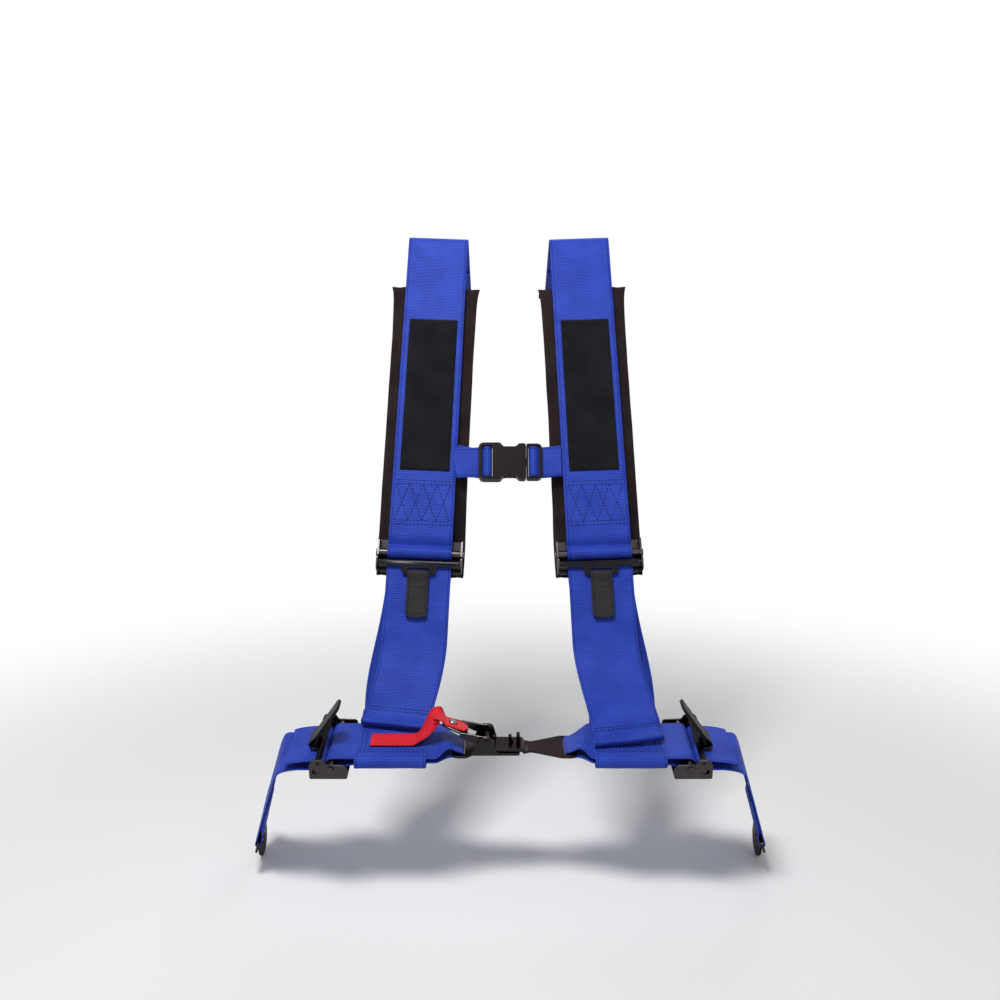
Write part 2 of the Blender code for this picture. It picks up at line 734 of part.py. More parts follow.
def lower_shoulder_strap(side):
    """Sewn round the lap strap, up behind it, round the lock bar, and down in front to its folded end."""
    sign = SIDES[side]
    frame = adjuster_frame("shoulder", side)
    across = frame.to_3x3() @ X_AXIS
    down = frame.to_3x3() @ -Y_AXIS
    forward = LAP.to_3x3() @ -Y_AXIS
    wrap = along_yz(frame, lock_wrap())
    foot_x = sign * FOOT_HALF_SPACING
    lap_edge = WEB_WIDTH / 2
    entry = (LAP @ Vector((foot_x, lap_edge, SEWN_UNDER)), X_AXIS, -forward)
    arrive = (wrap[0][0], across, -down)
    turn_r = (SEWN_TOP - SEWN_UNDER) / 2
    hem = [(SEWN_LENGTH - lap_edge, SEWN_TOP)] + arc((-lap_edge, SEWN_TOP - turn_r), turn_r, 90, 270, 8)
    path = [(LAP @ Vector((foot_x, u, v)), X_AXIS) for u, v in hem]
    path += flowing(entry, arrive, REAR_PULL, REAR_UPPER_PULL, 14)
    path += wrap[1:]
    straight = (wrap[-1][0] + down * TAIL_STRAIGHT, across, down)
    dip = forward * math.cos(TAIL_DIP) - LAP.to_3x3() @ Z_AXIS * math.sin(TAIL_DIP)
    tail_y = TAIL_END_Y[side]
    landing = (LAP @ Vector((foot_x, tail_y, TAIL_ABOVE_LAP)), X_AXIS, dip)
    path += flowing(straight, landing, TAIL_PULL, TAIL_LANDING_PULL - tail_y, 14)
    path += folded_end(landing, TAIL_FOLD)
    strip(f"{side}_lower_shoulder_strap", path, WEB_WIDTH, WEB_T, webbing("lower_web"))


def folded_end(end, length):
    """Half turn under the end, and the hem back along its underside."""
    point, across, heading = end
    below = heading.cross(across).normalized()
    if below.z > 0:
        below = -below
    radius = LAYER / 2 + CLEAR
    centre = point + below * radius
    turn = [math.radians(90 - 180 * k / 6) for k in range(1, 7)]
    path = [(centre + radius * (heading * math.cos(a) - below * math.sin(a)), across) for a in turn]
    path.append((path[-1][0] - heading * length, across))
    return path


# Lap straps

def inner_lap_strap(side):
    """Loop between the buckle's slot, where it is drawn in, and the adjuster's crossbar."""
    loop_out = LAP_LOOP_OUT[side]
    roll = (LAP_ADJUSTER_OUT, LOOP_R - ROLL_R)
    low = roll[1] - ROLL_R
    under = -LOOP_R - LAYER
    near = LAP_ADJUSTER_OUT - ROLL_CLOSING
    drawn = [loop_out + DRAWN_START + (DRAWN_RUN - DRAWN_START) * k / 6 for k in range(7)]
    path = [(LAP_UNDER_START, -LOOP_R)]
    path += [(out, -LOOP_R) for out in reversed(drawn)]
    path += arc((loop_out, 0), LOOP_R, -90, -270, 8)
    path += [(out, LOOP_R) for out in drawn]
    path += arc(roll, ROLL_R, 90, -90, 10)
    middle = (LAP_ADJUSTER_OUT + near) / 2
    path += bezier((LAP_ADJUSTER_OUT, low), (middle, low), (middle, under), (near, under), 6)[1:]
    path.append((LAP_RETURN_END, under))
    rows = []
    for out, z in path:
        drawn_in = drawn_share(out - loop_out)
        place_of_row = towards_buckle(drawn_in)
        width = WEB_WIDTH + (DRAWN_WIDTH - WEB_WIDTH) * drawn_in
        across = place_of_row.to_3x3() @ Y_AXIS * width / WEB_WIDTH
        rows.append((place_of_row @ Vector((SIDES[side] * out, 0, z)), across))
    strip(f"{side}_inner_lap_strap", rows, WEB_WIDTH, WEB_T, webbing("inner_lap_web"))


def drawn_share(distance):
    """How far the lap webbing is drawn in, by its distance from the buckle's slot: 1 on the slot's bar."""
    ease = min(max((DRAWN_RUN - distance) / (DRAWN_RUN - DRAWN_START), 0), 1)
    return ease * ease * (3 - 2 * ease)


def outer_lap_strap(side):
    """From its anchor up over the seat's side, round the lock bar, and back over itself as a tail."""
    sign = SIDES[side]
    wrap = along_yz(adjuster_frame("lap", side), lock_wrap())
    outward = LAP.to_3x3() @ (sign * X_AXIS)
    up = LAP.to_3x3() @ Z_AXIS
    lap_across = LAP.to_3x3() @ (sign * Y_AXIS)
    run_across = sign * Vector((0, math.cos(OUTER_SLANT), math.sin(OUTER_SLANT)))
    fall = Vector((0, math.sin(OUTER_SLANT), -math.cos(OUTER_SLANT)))
    run = sign * X_AXIS * math.sin(OUTER_FLARE) + fall * math.cos(OUTER_FLARE)
    inward = run_across.cross(run)
    brow = wrap[0][0] + outward * (BOLSTER_OUT - LAP_ADJUSTER_OUT - LOCK_DROP)
    bend_end = brow + (outward + run) * BOLSTER_R
    loop = bend_end + run * OUTER_RUN
    eye = loop + inward * LOOP_R
    path = [(loop + run * u + inward * v, run_across) for u, v in reversed(anchor_loop())]
    bend = flowing((brow, lap_across, outward), (bend_end, run_across, run), BOLSTER_R, BOLSTER_R, 8)
    path += reversed(bend)
    path += wrap
    droop = (outward - up * LAP_TAIL_DROOP).normalized()
    tail_start = (wrap[-1][0], lap_across, outward)
    tail_end = (wrap[-1][0] + outward * LAP_TAIL - up * LAP_TAIL * LAP_TAIL_DROOP / 3, lap_across, droop)
    path += flowing(tail_start, tail_end, LAP_TAIL / 3, LAP_TAIL / 3, 6)[1:]
    strip(f"{side}_outer_lap_strap", path, WEB_WIDTH, WEB_T, webbing("outer_lap_web"))
    frame = Matrix((-run_across, run, -inward)).transposed().to_4x4()
    frame.translation = eye
    anchor_plate(f"{side}_lap_anchor", frame, -OUTER_FLARE)


# Lever buckle

def latch_plate():
    """Left half: slotted plate with two cheeks for the pivot and two teeth for the link."""
    left = -LAP_LOOP_OUT["left"]
    half = CHEEK_IN + PLATE_T
    outer = rounded(mirrored([(left - SLOT_BAR, BUCKLE_PLATE_HALF, PLATE_CORNER),
                              (left + SLOT_DEPTH + SLOT_WALL, BUCKLE_PLATE_HALF, PLATE_CORNER),
                              (PIVOT_X - CHEEK_BACK, half, LATCH_CORNER), (LATCH_END, half, LATCH_CORNER)]))
    slot = [(left + v, u) for u, v in slot_outline(BUCKLE_SLOT_HALF)]
    mesh = plate(PLATE_T, outer, [slot])
    cheek = rounded([(PIVOT_X - CHEEK_BACK, 0, 0), (PIVOT_X + CHEEK_FRONT, 0, 0),
                     (PIVOT_X + CHEEK_R, PIVOT_Z + CHEEK_R, CHEEK_CORNER),
                     (PIVOT_X - CHEEK_R, PIVOT_Z + CHEEK_R, CHEEK_CORNER)])
    bore = circle(PIVOT_X, PIVOT_Z, PIVOT_R + FIT)
    for end in (-1, 1):
        side = plate(PLATE_T, cheek, [bore], moved(0, end * (CHEEK_IN + PLATE_T / 2), 0) @ UPRIGHT)
        mesh = combined("UNION", mesh, side)
    root = PIVOT_X + LINK_BAR / 2 + CLEAR + FIT
    tooth = rounded([(root, 0, 0), (root + TOOTH_T, 0, 0), (root + TOOTH_TIP, TOOTH_HEIGHT, TOOTH_CORNER),
                     (root, TOOTH_HEIGHT, TOOTH_CORNER)])
    width = TOOTH_OUT - TOOTH_IN
    for end in (-1, 1):
        finger = plate(width, tooth, (), moved(0, end * (TOOTH_IN + width / 2), 0) @ UPRIGHT)
        mesh = combined("UNION", mesh, finger)
    place("latch_plate", mesh, steel("latch_steel"), BUCKLE)


def link_plate():
    """Right half: slotted plate stepped up to a windowed tongue that drops over the teeth."""
    right = LAP_LOOP_OUT["right"]
    bar_end = PIVOT_X - LINK_BAR / 2
    step = LATCH_END + LINK_STEP_GAP
    outer = rounded(mirrored([(bar_end, LINK_TONGUE_HALF, LINK_CORNER),
                              (step, LINK_TONGUE_HALF, LINK_STEP_CORNER),
                              (step + LINK_NECK_RUN, LINK_NECK_HALF, LINK_NECK_CORNER),
                              (right - SLOT_DEPTH - SLOT_WALL, BUCKLE_PLATE_HALF, PLATE_CORNER),
                              (right + SLOT_BAR, BUCKLE_PLATE_HALF, PLATE_CORNER)]))
    slot = [(right - v, u) for u, v in slot_outline(BUCKLE_SLOT_HALF)]
    window_start = PIVOT_X + LINK_BAR / 2
    window_end = window_start + CLEAR + 2 * FIT + TOOTH_T
    window = rectangle(window_start, -TOOTH_OUT - FIT, window_end, TOOTH_OUT + FIT)
    plan = plate(2 * CUT_PAST, outer, [slot, window])
    low = PLATE_T / 2
    rise = LINK_TOP - low
    end = right + SLOT_BAR + CUT_PAST
    start = bar_end - CUT_PAST
    section = [(start, LINK_BOTTOM), (step, LINK_BOTTOM), (step + rise, -low), (end, -low), (end, low),
               (step + rise + LINK_STEP_LEAN, low), (step + LINK_STEP_LEAN, LINK_TOP), (start, LINK_TOP)]
    mesh = combined("INTERSECT", plan, plate(2 * (BUCKLE_PLATE_HALF + CUT_PAST), section, (), UPRIGHT))
    width = FINGER_OUT - FINGER_IN
    root = LINK_TOP - FINGER_ROOT
    for start, lean, height in FINGERS:
        corners = [(start, root, 0), (start + FINGER_T, root, 0),
                   (start + FINGER_T + lean, height, FINGER_CORNER), (start + lean, height, FINGER_CORNER)]
        finger = plate(width, rounded(corners), (), moved(0, FINGER_IN + width / 2, 0) @ UPRIGHT)
        mesh = combined("UNION", mesh, finger)
    place("link_plate", mesh, steel("link_steel"), BUCKLE)


PIVOT = BUCKLE @ moved(PIVOT_X, 0, PIVOT_Z)


def lever_line(distance, height):
    """Point (x, z) from the pivot: a distance out along the sloping lever and a height above it."""
    return (-distance * math.cos(LEVER_RISE) + height * math.sin(LEVER_RISE),
            distance * math.sin(LEVER_RISE) + height * math.cos(LEVER_RISE))


def buckle_lever(hub):
    """Two arms with locking hubs on the pivot, joined by a sloping finger plate."""
    flat = math.degrees(math.acos(LEVER_HUB_FLAT / LEVER_HUB_R))
    arm = arc((0, 0), LEVER_HUB_R, -150, -flat, 10) + arc((0, 0), LEVER_HUB_R, flat, 110, 6)
    arm += [lever_line(LEVER_ARM, PLATE_T / 2), lever_line(LEVER_ARM, -LEVER_ARM_DEPTH)]
    bore = circle(0, 0, PIVOT_R + FIT)
    sides = []
    for end in (-1, 1):
        sides.append(plate(PLATE_T, arm, [bore], moved(0, end * (LEVER_HALF - PLATE_T / 2), 0) @ UPRIGHT))
    outer = rounded(mirrored([(-LEVER_PLATE_END, LEVER_END_HALF, LEVER_END_CORNER),
                              (-LEVER_PLATE_START, LEVER_HALF, LEVER_ROOT_CORNER)]))
    slope = turned_about("Y", LEVER_RISE)
    hole = circle(-SCREW_OUT, 0, SCREW_R + FIT, 12)
    grip = plate(PLATE_T, outer, [[(u, v + RELEASE_STRAP_Y) for u, v in hole]], slope)
    mesh = combined("UNION", grip, *sides)
    place("buckle_lever", mesh, steel("lever_steel"), None, hub)


def release_strap(hub):
    """Red pull strap: along the lever's top, in a hump off its end, then out over the lap strap."""
    lift = PLATE_T / 2 + CLEAR + WEB_T / 2
    start = lever_line(RELEASE_START, lift)
    leave = lever_line(RELEASE_LIFT_OFF, lift)
    crest = lever_line(RELEASE_CREST, lift + RELEASE_HUMP)
    half_way = (leave[0] + crest[0]) / 2
    outline = [start] + bezier(leave, (half_way, leave[1]), (half_way, crest[1]), crest, 6)
    path = along_xz(moved(0, RELEASE_STRAP_Y, 0), outline)
    lap = PIVOT.inverted() @ LAP
    lap_across = lap.to_3x3() @ Y_AXIS
    settle_x = PIVOT_X + crest[0] - RELEASE_SETTLE
    settle = (lap @ Vector((settle_x, RELEASE_STRAP_Y, RELEASE_LOW)), lap_across, -X_AXIS)
    path += flowing((*path[-1], -X_AXIS), settle, RELEASE_PULL, RELEASE_PULL, 8)[1:]
    path.append((lap @ Vector((-RELEASE_END, RELEASE_STRAP_Y, RELEASE_LOW)), lap_across))
    obj = strip("release_strap", path, RELEASE_WIDTH, WEB_T,
                material("red_web", (0.62, 0.008, 0.012), 0.7, 0))
    drill = plate(2 * CUT_PAST, circle(0, 0, SCREW_R + FIT, 12), (), screw_frame())
    tool = place("screw_hole", drill, steel("cutter"), None, hub)
    PARTS.objects.unlink(tool)
    CUTTERS.objects.link(tool)
    tool.hide_render = True
    tool.display_type = "WIRE"
    cut = obj.modifiers.new("screw_hole", "BOOLEAN")
    cut.operation = "DIFFERENCE"
    cut.solver = "EXACT"
    cut.object = tool
    obj.parent = hub


def screw_frame():
    """On the lever's mid plane at the screw, z along the screw; x and z from the pivot."""
    x, z = lever_line(SCREW_OUT, 0)
    return moved(x, RELEASE_STRAP_Y, z) @ turned_about("Y", LEVER_RISE)


def release_screw(hub):
    """Domed screw through the strap and the lever, with its nut."""
    under_head = PLATE_T / 2 + 2 * CLEAR + WEB_T
    under_lever = -PLATE_T / 2 - FIT
    dome = [(under_head + SCREW_HEAD_T * math.sin(a), SCREW_HEAD_R * math.cos(a))
            for a in (math.radians(k * 15) for k in range(6, -1, -1))]
    profile = dome + [(under_head, SCREW_R), (under_lever, SCREW_R), (under_lever, NUT_R),
                      (under_lever - NUT_T, NUT_R), (under_lever - NUT_T, 0)]
    mesh = turned(profile, 12)
    mesh.transform(turned_about("Y", -math.pi / 2))
    place("release_screw", mesh, steel("screw_steel"), screw_frame(), hub)


def lever_buckle():
    latch_plate()
    link_plate()
    hub = empty("buckle_pivot_origin", PIVOT)
    spindle = pin(CHEEK_IN + PLATE_T + FIT, PIVOT_R, [(PIVOT_HEAD_T, PIVOT_HEAD_R)])
    place("buckle_pivot_pin", spindle, steel("pin_steel"), turned_about("Z", math.pi / 2), hub)
    buckle_lever(hub)
    release_strap(hub)
    release_screw(hub)


# Chest strap and its side release buckle

CHEST = BACK @ moved(CHEST_CENTRE, CHEST_RISE, CHEST_FRONT)


def web_bar(x):
    mesh = pin(CHEST_WIDTH / 2 + SIDE_PLAY + BAR_ROOT, WEB_BAR_R)
    mesh.transform(moved(x, 0, 0) @ turned_about("Z", math.pi / 2))
    return mesh


def web_window(x):
    half = CHEST_WIDTH / 2 + SIDE_PLAY
    return rectangle(x - WEB_WINDOW_HALF, -half, x + WEB_WINDOW_HALF, half)


def rail_relief(side):
    """Space behind an end rail, where both layers of webbing leave the window."""
    sign = SIDES[side]
    inner = sign * (WEB_BAR_OUT[side] + WEB_WINDOW_HALF - BAR_ROOT)
    outer = sign * (BUCKLE_HALF_LENGTH + CUT_PAST)
    half = CHEST_WIDTH / 2 + SIDE_PLAY
    depth = BUCKLE_T
    return plate(depth, rectangle(min(inner, outer), -half, max(inner, outer), half), (),
                 moved(0, 0, END_RAIL_BACK - depth / 2))


def chest_socket():
    """Left half: webbing window and bar, then a flat socket open at its sides for the prongs."""
    left = -BUCKLE_HALF_LENGTH
    high = BUCKLE_HALF_HEIGHT
    waist = WAIST_HALF_HEIGHT
    mouth = high - SOCKET_LIP
    slope, near, far, rise = SOCKET_WAIST
    outer = rounded(mirrored([(left, high, BUCKLE_CORNER), (slope, high, BUCKLE_BEND),
                              (near, waist, WAIST_CORNER),
                              (far, waist, WAIST_CORNER), (rise, mouth, BUCKLE_BEND),
                              (SOCKET_END, mouth, WAIST_CORNER)]))
    bar = -WEB_BAR_OUT["left"]
    mesh = combined("UNION", plate(BUCKLE_T, outer, [web_window(bar)]), web_bar(bar))
    depth = 2 * SOCKET_HALF_DEPTH
    cavity = rectangle(SOCKET_FLOOR, -SOCKET_HALF_HEIGHT, SOCKET_END + CUT_PAST, SOCKET_HALF_HEIGHT)
    reach = high + CUT_PAST
    sides = rectangle(near, -reach, far, reach)
    mesh = combined("DIFFERENCE", mesh, plate(depth, cavity), plate(depth - SOCKET_STEP, sides),
                    rail_relief("left"))
    place("chest_buckle_socket", mesh, material("socket_plastic", BLACK_WEB, 0.45, 0), CHEST)


def chest_plug():
    """Right half: webbing window and bar, and the guide tongue between the prongs."""
    start = SOCKET_END + CLEAR
    right = BUCKLE_HALF_LENGTH
    high = BUCKLE_HALF_HEIGHT - SOCKET_LIP
    outer = rounded(mirrored([(start, high, PLUG_CORNER), (right, high, BUCKLE_CORNER)]))
    bar = WEB_BAR_OUT["right"]
    mesh = plate(PLUG_T, outer, [web_window(bar)])
    guide = rounded(mirrored([(GUIDE_TIP, GUIDE_HALF, WAIST_CORNER), (start + GUIDE_ROOT, GUIDE_HALF, 0)]))
    mesh = combined("UNION", mesh, web_bar(bar), plate(2 * PRONG_HALF_T, guide))
    mesh = combined("DIFFERENCE", mesh, rail_relief("right"))
    place("chest_buckle_plug", mesh, material("plug_plastic", BLACK_WEB, 0.45, 0), CHEST)


def chest_prong(name, sign):
    """Springy arm whose pad shows in the socket's side; its origin is at its root."""
    root = SOCKET_END
    corners = [(root, -PRONG_ROOT_HALF, 0), (root, PRONG_ROOT_HALF, 0), *PRONG_CORNERS]
    outline = [(u - root, sign * v) for u, v in rounded(corners)]
    mesh = plate(2 * PRONG_HALF_T, outline)
    place(name, mesh, material("prong_plastic", BLACK_WEB, 0.45, 0),
          CHEST @ moved(root, sign * PRONG_ROOT_Y, 0))


def chest_strap(side):
    """From behind the shoulder strap to the buckle's bar, round it, and back behind the end rail."""
    sign = SIDES[side]
    splayed = ADJUSTER_HALF_SPACING - (CHEST_RISE - ADJUSTER_RISE) * math.tan(SPLAY)
    edge = splayed - WEB_WIDTH / 2
    depth = WEB_T / 2 + CLEAR + CHEST_T / 2
    bar = WEB_BAR_OUT[side] + sign * CHEST_CENTRE
    behind = CHEST_FRONT - CHEST_WRAP_R
    rear = edge - CHEST_REAR_START
    path = [(edge + CHEST_SEWN, -depth)]
    path += bezier((rear, -depth), (rear - CHEST_REAR_PULL, -depth),
                   (bar + CHEST_BAR_PULL, behind), (bar, behind), 6)
    path += arc((bar, CHEST_FRONT), CHEST_WRAP_R, -90, -305, 10)[1:]
    under_rail = (bar + WEB_WINDOW_HALF, CHEST_FRONT + END_RAIL_BACK - CHEST_T - CLEAR)
    path.append(under_rail)
    front = bar + CHEST_FRONT_START
    path += bezier((front, depth), (front + CHEST_FRONT_PULL, depth), (edge - CHEST_END_PULL, depth),
                   (edge + CHEST_END[side], depth), 4)
    frame = BACK @ moved(0, CHEST_RISE, 0)
    outline = [(sign * out, z) for out, z in path]
    strip(f"{side}_chest_strap", along_xz(frame, outline), CHEST_WIDTH, CHEST_T, webbing("chest_web"))


def cutter_collection():
    collection = bpy.data.collections.new("cutters")
    bpy.context.scene.collection.children.link(collection)
    return collection


CUTTERS = cutter_collection()


def build():
    for side in SIDES:
        upper_shoulder_strap(side)
        shoulder_pad(side)
        label_patch(side)
        lower_shoulder_strap(side)
        inner_lap_strap(side)
        outer_lap_strap(side)
        chest_strap(side)
        for kind in TAB_LIFT:
            adjuster(kind, side)
    lever_buckle()
    chest_socket()
    chest_plug()
    chest_prong("chest_buckle_upper_prong", 1)
    chest_prong("chest_buckle_lower_prong", -1)


build()
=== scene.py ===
import json
from math import ceil, cos, exp, floor, hypot, pi, radians, sin, sqrt, tan, tau

import bmesh
import bpy
from mathutils import Matrix, Vector, noise
from mathutils.geometry import interpolate_bezier


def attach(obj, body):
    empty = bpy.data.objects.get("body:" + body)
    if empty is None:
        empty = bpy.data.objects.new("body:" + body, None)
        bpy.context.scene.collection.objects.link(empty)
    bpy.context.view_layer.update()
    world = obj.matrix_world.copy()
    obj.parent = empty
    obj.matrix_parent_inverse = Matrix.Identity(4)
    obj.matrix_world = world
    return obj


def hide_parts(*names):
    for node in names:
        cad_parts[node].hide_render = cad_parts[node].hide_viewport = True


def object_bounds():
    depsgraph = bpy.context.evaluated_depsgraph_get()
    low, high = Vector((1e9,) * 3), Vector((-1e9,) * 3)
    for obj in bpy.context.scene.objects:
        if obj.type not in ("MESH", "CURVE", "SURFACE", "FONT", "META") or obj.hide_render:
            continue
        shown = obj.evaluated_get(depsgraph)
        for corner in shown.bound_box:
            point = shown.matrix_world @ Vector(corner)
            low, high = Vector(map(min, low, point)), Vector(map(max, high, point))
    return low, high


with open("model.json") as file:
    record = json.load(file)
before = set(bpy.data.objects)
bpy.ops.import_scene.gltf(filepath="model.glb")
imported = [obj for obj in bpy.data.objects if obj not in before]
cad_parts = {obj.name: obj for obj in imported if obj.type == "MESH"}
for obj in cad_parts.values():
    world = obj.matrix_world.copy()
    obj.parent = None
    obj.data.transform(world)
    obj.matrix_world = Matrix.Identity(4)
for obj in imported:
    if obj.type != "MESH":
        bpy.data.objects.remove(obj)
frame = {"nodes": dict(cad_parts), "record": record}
CAD_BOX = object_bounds()
NODES = frame["nodes"]
BODY_OF = {node: body for body, nodes in frame["record"]["behaviour"]["bodies"].items() for node in nodes}
ROOT = "straps"

# Sizes and places, as in the part's source
WEB_WIDTH, WEB_T = 0.0762, 0.0018
CHEST_WIDTH, CHEST_T = 0.038, 0.0015
TAB_WIDTH, TAB_T = 0.025, 0.0015
RELEASE_WIDTH = 0.025
CLEAR = 0.0004
LAP_FORWARD, LAP_HEIGHT, LAP_SLOPE = 0.0496, 0.1360, radians(8)
FOOT_BEHIND, FOOT_ABOVE, RECLINE = 0.060, 0.032, radians(27)
ADJUSTER_HALF_SPACING, ADJUSTER_RISE, SPLAY = 0.1065, 0.169, radians(2.2)
UPPER_RUN, EDGE_R, BACK_RUN = 0.410, 0.012, 0.150
SEWN_RETURN, ROLL_CLOSING = 0.088, 0.024
LABEL_WIDTH, LABEL_LENGTH, LABEL_T, LABEL_RISE = 0.060, 0.200, 0.001, 0.202
FOOT_HALF_SPACING, SEWN_LENGTH = 0.128, 0.018
TAIL_STRAIGHT, TAIL_ABOVE_LAP, TAIL_FOLD = 0.088, 0.010, 0.022
TAIL_DIP, TAIL_PULL, TAIL_LANDING_PULL = radians(14), 0.045, 0.032
REAR_PULL, REAR_UPPER_PULL = 0.055, 0.110
TAIL_END_Y = {"left": 0.014, "right": -0.021}
# Sections of a shoulder pad: rise, depth, half width and half height
PAD_ROWS = ((-0.027, -0.0240, 0.056, 0.0016),
            (-0.017, -0.0250, 0.058, 0.0062),
            (0.036, -0.0250, 0.058, 0.0065),
            (0.082, -0.0115, 0.057, 0.0068),
            (0.338, -0.0102, 0.057, 0.0060),
            (0.354, -0.0065, 0.062, 0.0016))
PAD_SHOULDER, PAD_SIDE_HEIGHT = 0.78, 0.80
CROSSBAR_R, LOCK_R, LOCK_DROP, LOCK_DEPTH = 0.005, 0.0038, 0.0138, 0.002
RELEASE_DROP, RELEASE_FRONT, RELEASE_T = 0.013, 0.008, 0.0016
TAB_BAR_H, TAB_BAR_DROP, TAB_LENGTH, TAB_SEWN = 0.0025, 0.0125, 0.053, 0.013
TAB_LIFT = {"shoulder": 0.0, "lap": radians(125)}
LAP_ADJUSTER_OUT = 0.190
LAP_LOOP_OUT = {"left": 0.0535, "right": 0.0620}
LAP_UNDER_START, LAP_RETURN_END = 0.160, 0.120
DRAWN_WIDTH, DRAWN_RUN = 0.048, 0.027
BOLSTER_OUT, BOLSTER_R = 0.228, 0.024
OUTER_SLANT, OUTER_FLARE, OUTER_RUN = radians(21), radians(17), 0.085
LAP_TAIL, LAP_TAIL_DROOP = 0.038, 0.35
PLATE_T, SLOT_BAR, ANCHOR_SEWN, ANCHOR_CLOSING = 0.0025, 0.009, 0.070, 0.016
BUCKLE_TILT, BUCKLE_DROP = radians(9), 0.005
PIVOT_X, PIVOT_Z = -0.026, 0.012
LEVER_RISE = radians(20)
RELEASE_STRAP_Y, RELEASE_START, RELEASE_LOW = -0.003, 0.027, 0.0055
RELEASE_LIFT_OFF, RELEASE_CREST, RELEASE_HUMP = 0.047, 0.059, 0.009
RELEASE_SETTLE, RELEASE_PULL, RELEASE_END = 0.030, 0.017, 0.152
CHEST_RISE, CHEST_CENTRE, CHEST_FRONT = 0.281, 0.0012, 0.0015
CHEST_SEWN, CHEST_END = 0.030, {"left": 0.0024, "right": -0.0016}
CHEST_REAR_START, CHEST_REAR_PULL, CHEST_BAR_PULL = 0.003, 0.013, 0.014
CHEST_FRONT_START, CHEST_FRONT_PULL, CHEST_END_PULL = 0.014, 0.006, 0.008
WEB_BAR_R, WEB_BAR_OUT = 0.0036, {"left": 0.0282, "right": 0.0280}
WEB_WINDOW_HALF, END_RAIL_BACK = 0.0064, 0.0022
LAYER = WEB_T + CLEAR
ROLL_R = CROSSBAR_R + CLEAR + WEB_T / 2
WRAP_R = LOCK_R + CLEAR + WEB_T / 2
LOOP_R = PLATE_T / 2 + CLEAR + WEB_T / 2
SEWN_TOP, SEWN_UNDER = LOOP_R + LAYER, -LOOP_R - 2 * LAYER
DRAWN_START = SLOT_BAR + CLEAR
FOLD_R = LAYER / 2 + CLEAR
TAB_R = hypot(TAB_BAR_H, RELEASE_T) / 2 + CLEAR + TAB_T / 2
CHEST_WRAP_R = WEB_BAR_R + CLEAR + CHEST_T / 2
SIDES = {"left": -1, "right": 1}
KINDS = ("shoulder", "lap")
X_AXIS, Y_AXIS, Z_AXIS = Vector((1, 0, 0)), Vector((0, 1, 0)), Vector((0, 0, 1))

# How the soft pieces stand proud of the plain solids
ROLL_BULGE, ROLL_CREASE, CREASE_DIP, CREASE_END = 0.0040, 0.0088, 0.0046, 0.0215
ROLL_TOP_PULL, ROLL_CREASE_PULL, CREASE_PULL, CREASE_END_PULL = 0.6, 0.7, 0.003, 0.006
LOOP_PUFF, LOOP_RUCK, LOOP_RUCKS = 0.0050, 0.0010, 2.5
FOLD_PUFF, FOLD_RISE, FOLD_RUN = 0.0018, 0.0034, 0.018
TIP_RUN, TIP_WIDTH = 0.0050, 0.10
TAB_CORNER, FLAP_SKEW, FLAP_RUN, FLAP_DROOP = 0.0045, -0.16, 0.030, 0.006
TAIL_SKEW, TAIL_SKEW_RUN, REAR_BOW = 0.20, 0.085, 0.0075
CHEST_PUFF, CHEST_LIFT, CHEST_TURN = 0.0006, {"left": 0.0050, "right": 0.0025}, 215
RELEASE_TWIST, TWIST_SINK, TWIST_START, TWIST_END = radians(32), 0.9, 12, 0.85
# Points in each bend
ROLL_BACK_STEPS, ROLL_STEPS, FOLD_STEPS, DRAWN_STEPS, CHEST_STEPS = 10, 12, 12, 24, 24
TIP_STEPS, HUMP_STEPS, BOLSTER_STEPS, LAP_TAIL_STEPS = 6, 20, 20, 14


# Frames and paths, as in the part's source but with more points

def turned_about(axis, angle):
    return Matrix.Rotation(angle, 4, axis)


def moved(x, y, z):
    return Matrix.Translation((x, y, z))


LAP = moved(0, -LAP_FORWARD, LAP_HEIGHT) @ turned_about("X", LAP_SLOPE)
LAP_ACROSS, LAP_UP = LAP.to_3x3() @ Y_AXIS, LAP.to_3x3() @ Z_AXIS
BACK = (moved(0, FOOT_BEHIND - LAP_FORWARD, LAP_HEIGHT + FOOT_ABOVE)
        @ turned_about("X", pi / 2 - RECLINE))


def towards_buckle(share):
    return LAP @ moved(0, 0, -BUCKLE_DROP * share) @ turned_about("X", -BUCKLE_TILT * share)


PIVOT = towards_buckle(1) @ moved(PIVOT_X, 0, PIVOT_Z)


def shoulder_frame(side):
    crossbar = moved(SIDES[side] * ADJUSTER_HALF_SPACING, ADJUSTER_RISE, 0)
    return BACK @ crossbar @ turned_about("Z", SIDES[side] * SPLAY)


def adjuster_frame(kind, side):
    if kind == "shoulder":
        return shoulder_frame(side) @ moved(0, 0, -ROLL_R)
    crossbar = moved(SIDES[side] * LAP_ADJUSTER_OUT, 0, LOOP_R - ROLL_R)
    return LAP @ crossbar @ turned_about("Z", SIDES[side] * pi / 2)


def arc(centre, radius, start, end, steps=22):
    angles = [radians(start + (end - start) * k / steps) for k in range(steps + 1)]
    return [(centre[0] + radius * cos(a), centre[1] + radius * sin(a)) for a in angles]


def bezier(start, start_pull, end_pull, end, steps=14):
    corners = [Vector((u, v, 0)) for u, v in (start, start_pull, end_pull, end)]
    return [(p.x, p.y) for p in interpolate_bezier(*corners, steps + 1)]


def along_yz(place, outline):
    across = place.to_3x3() @ X_AXIS
    return [(place @ Vector((0, u, v)), across) for u, v in outline]


def along_xz(place, outline):
    across = place.to_3x3() @ Y_AXIS
    return [(place @ Vector((u, 0, v)), across) for u, v in outline]


